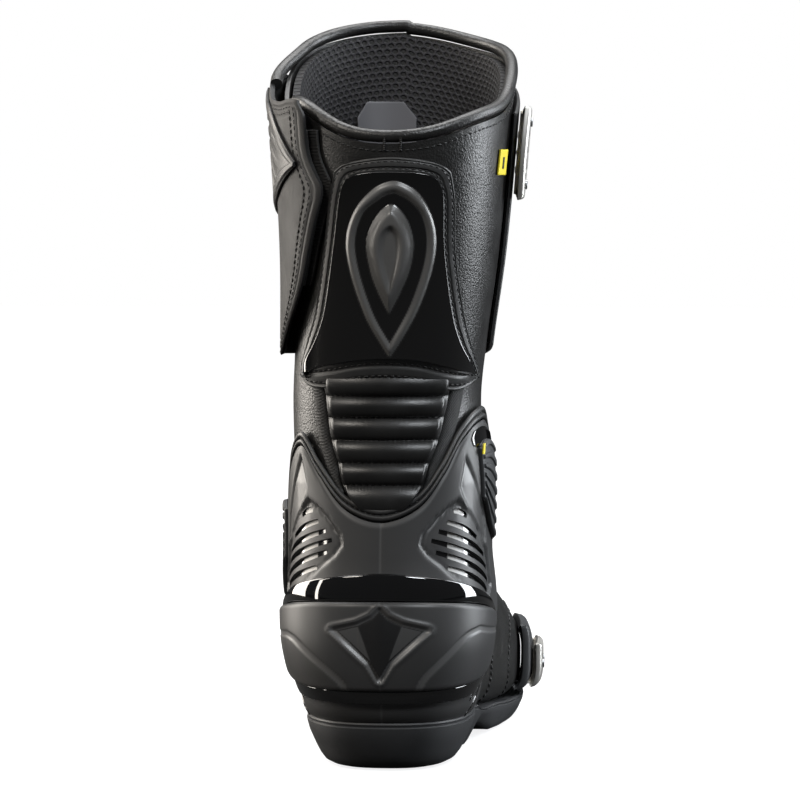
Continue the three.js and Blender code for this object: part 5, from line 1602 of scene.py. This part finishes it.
# %% [markdown]
# Inside lie a hidden board and shank, and a soft fabric footbed with a rolled edge and a slightly crowned
# top.

# %% Footbed, insole board and shank
feather = station(FOOT, 3, np.maximum(SOLE[:, 1], -20))
footbed_rings = []
for inset, rise in ((-17, 10.8), (-15.2, 10.9), (-14.8, 11.6), (-14.9, 12.8), (-15.6, 13.9), (-17, 14.4),
                    (-20, 14.6), (-24, 14.7)):
    ring = grown(SOLE, inset)
    ring[:, 2] = feather + rise
    footbed_rings.append(ring)
footbed = loft("fabric_footbed", np.array(footbed_rings))
smooth(footbed, 50)
dress(footbed, TAPE, "foot", ("footbed",))
for name, material in (("shank", STEEL), ("insole_board", BOARD)):
    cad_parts[name].data.materials.clear()
    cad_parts[name].data.materials.append(material)
print("footbed:", len(footbed.data.polygons), "faces")


# %% [markdown]
# ## Studio
# The boot stands on a floor between two tall softboxes and a narrow strip, which draw the long white
# edges on the lacquer. To the camera the floor glows, a painted glow that is white far out and a dimmer
# grey near the middle. A large light hangs overhead, and two high lights stand behind the camera, which is
# far away with a long lens.

# %% Floor, lights and camera
def soft_light(name, place, target, size, power, colour=(1, 1, 1)):
    bpy.ops.object.light_add(type="AREA", location=place)
    lamp = bpy.context.object
    lamp.name = name
    lamp.data.shape = "RECTANGLE"
    lamp.data.size, lamp.data.size_y = size
    lamp.data.energy, lamp.data.color = power, colour
    lamp.rotation_euler = (Vector(target) - Vector(place)).to_track_quat("-Z", "Y").to_euler()
    return lamp


bpy.ops.mesh.primitive_plane_add(size=12, location=(0, 0, -0.0005))
floor = bpy.context.object
floor.name = "studio floor"
paper = bpy.data.materials.new("studio_paper")
paper.use_nodes = True
tree = paper.node_tree
glowing_paper = tree.nodes["Principled BSDF"]
glowing_paper.inputs["Roughness"].default_value = 0.9
glowing_paper.inputs["Emission Strength"].default_value = 1.0
grain = node(tree, "TexNoise", {"Vector": node(tree, "TexCoord").outputs["Object"], "Scale": 3.0})
tint = node(tree, "ValToRGB", {"Fac": grain.outputs["Fac"]})
for element, grey in zip(tint.color_ramp.elements, (0.20, 0.23)):
    element.color = (grey, grey, grey, 1)
tree.links.new(tint.outputs[0], glowing_paper.inputs["Base Color"])
# Painted glow: the floor's emission, seen only by camera rays, is white far out and fades to a dimmer grey
# near the middle.
reach = node(tree, "VectorMath", {0: node(tree, "TexCoord").outputs["Object"], 1: (0.9, 0.9, 0.9)},
             operation="MULTIPLY")
nearness = node(tree, "TexGradient", {"Vector": reach.outputs[0]}, gradient_type="SPHERICAL")
glow = node(tree, "ValToRGB", {"Fac": nearness.outputs["Fac"]})
glow.color_ramp.elements[0].color = (1, 1, 1, 1)
glow.color_ramp.elements[1].color = (0.82, 0.82, 0.83, 1)
tree.links.new(glow.outputs[0], glowing_paper.inputs["Emission Color"])
dull_paper = node(tree, "BsdfDiffuse", {"Color": (0.035, 0.035, 0.035, 1)})
mixed_paper = node(tree, "MixShader", {0: node(tree, "LightPath").outputs["Is Camera Ray"],
                                       1: dull_paper.outputs[0], 2: glowing_paper.outputs[0]})
tree.links.new(mixed_paper.outputs[0], tree.nodes["Material Output"].inputs["Surface"])
floor.data.materials.append(paper)
warm, cool = (1.0, 0.94, 0.86), (0.92, 0.96, 1.0)
lights = [
    soft_light("left_softbox", (-1.2, 0.5, 0.42), (0, 0, 0.18), (0.7, 1.5), 32, warm),
    soft_light("left_strip", (-1.35, -0.3, 0.42), (0, 0, 0.18), (0.12, 1.5), 7, warm),
    soft_light("right_softbox", (1.2, 0.42, 0.5), (0, 0, 0.18), (0.45, 1.4), 26, cool),
    soft_light("overhead", (0.0, 0.5, 1.6), (0, 0, 0.15), (1.6, 1.0), 30),
    soft_light("right_key", (1.0, -1.2, 1.65), (0, 0, 0.15), (0.7, 0.5), 30, cool),
    soft_light("left_fill", (-1.0, -1.2, 1.55), (0, 0, 0.15), (0.7, 0.5), 17, warm),
]
world = bpy.data.worlds.new("studio air")
world.use_nodes = True
air = world.node_tree
dim = air.nodes["Background"]
dim.inputs["Color"].default_value = (0.92, 0.94, 0.97, 1)
dim.inputs["Strength"].default_value = 0.06
bright = node(air, "Background", {"Color": (1, 1, 1, 1), "Strength": 1.0})
seen_by = node(air, "LightPath").outputs["Is Camera Ray"]
both = node(air, "MixShader", {0: seen_by, 1: dim.outputs[0], 2: bright.outputs[0]})
air.links.new(both.outputs[0], air.nodes["World Output"].inputs["Surface"])
bpy.context.scene.view_settings.view_transform = "Standard"
bpy.context.scene.world = world

lens = bpy.data.cameras.new("camera")
lens.lens, lens.sensor_width, lens.clip_end = 188.56, 36, 50
camera = bpy.data.objects.new("camera", lens)
bpy.context.scene.collection.objects.link(camera)
target = Vector((0.00242, 0.040, 0.16997))
camera.location = (0.1649, -1.9867, 0.2882)
camera.rotation_euler = (target - camera.location).to_track_quat("-Z", "Y").to_euler()
bpy.context.scene.camera = camera
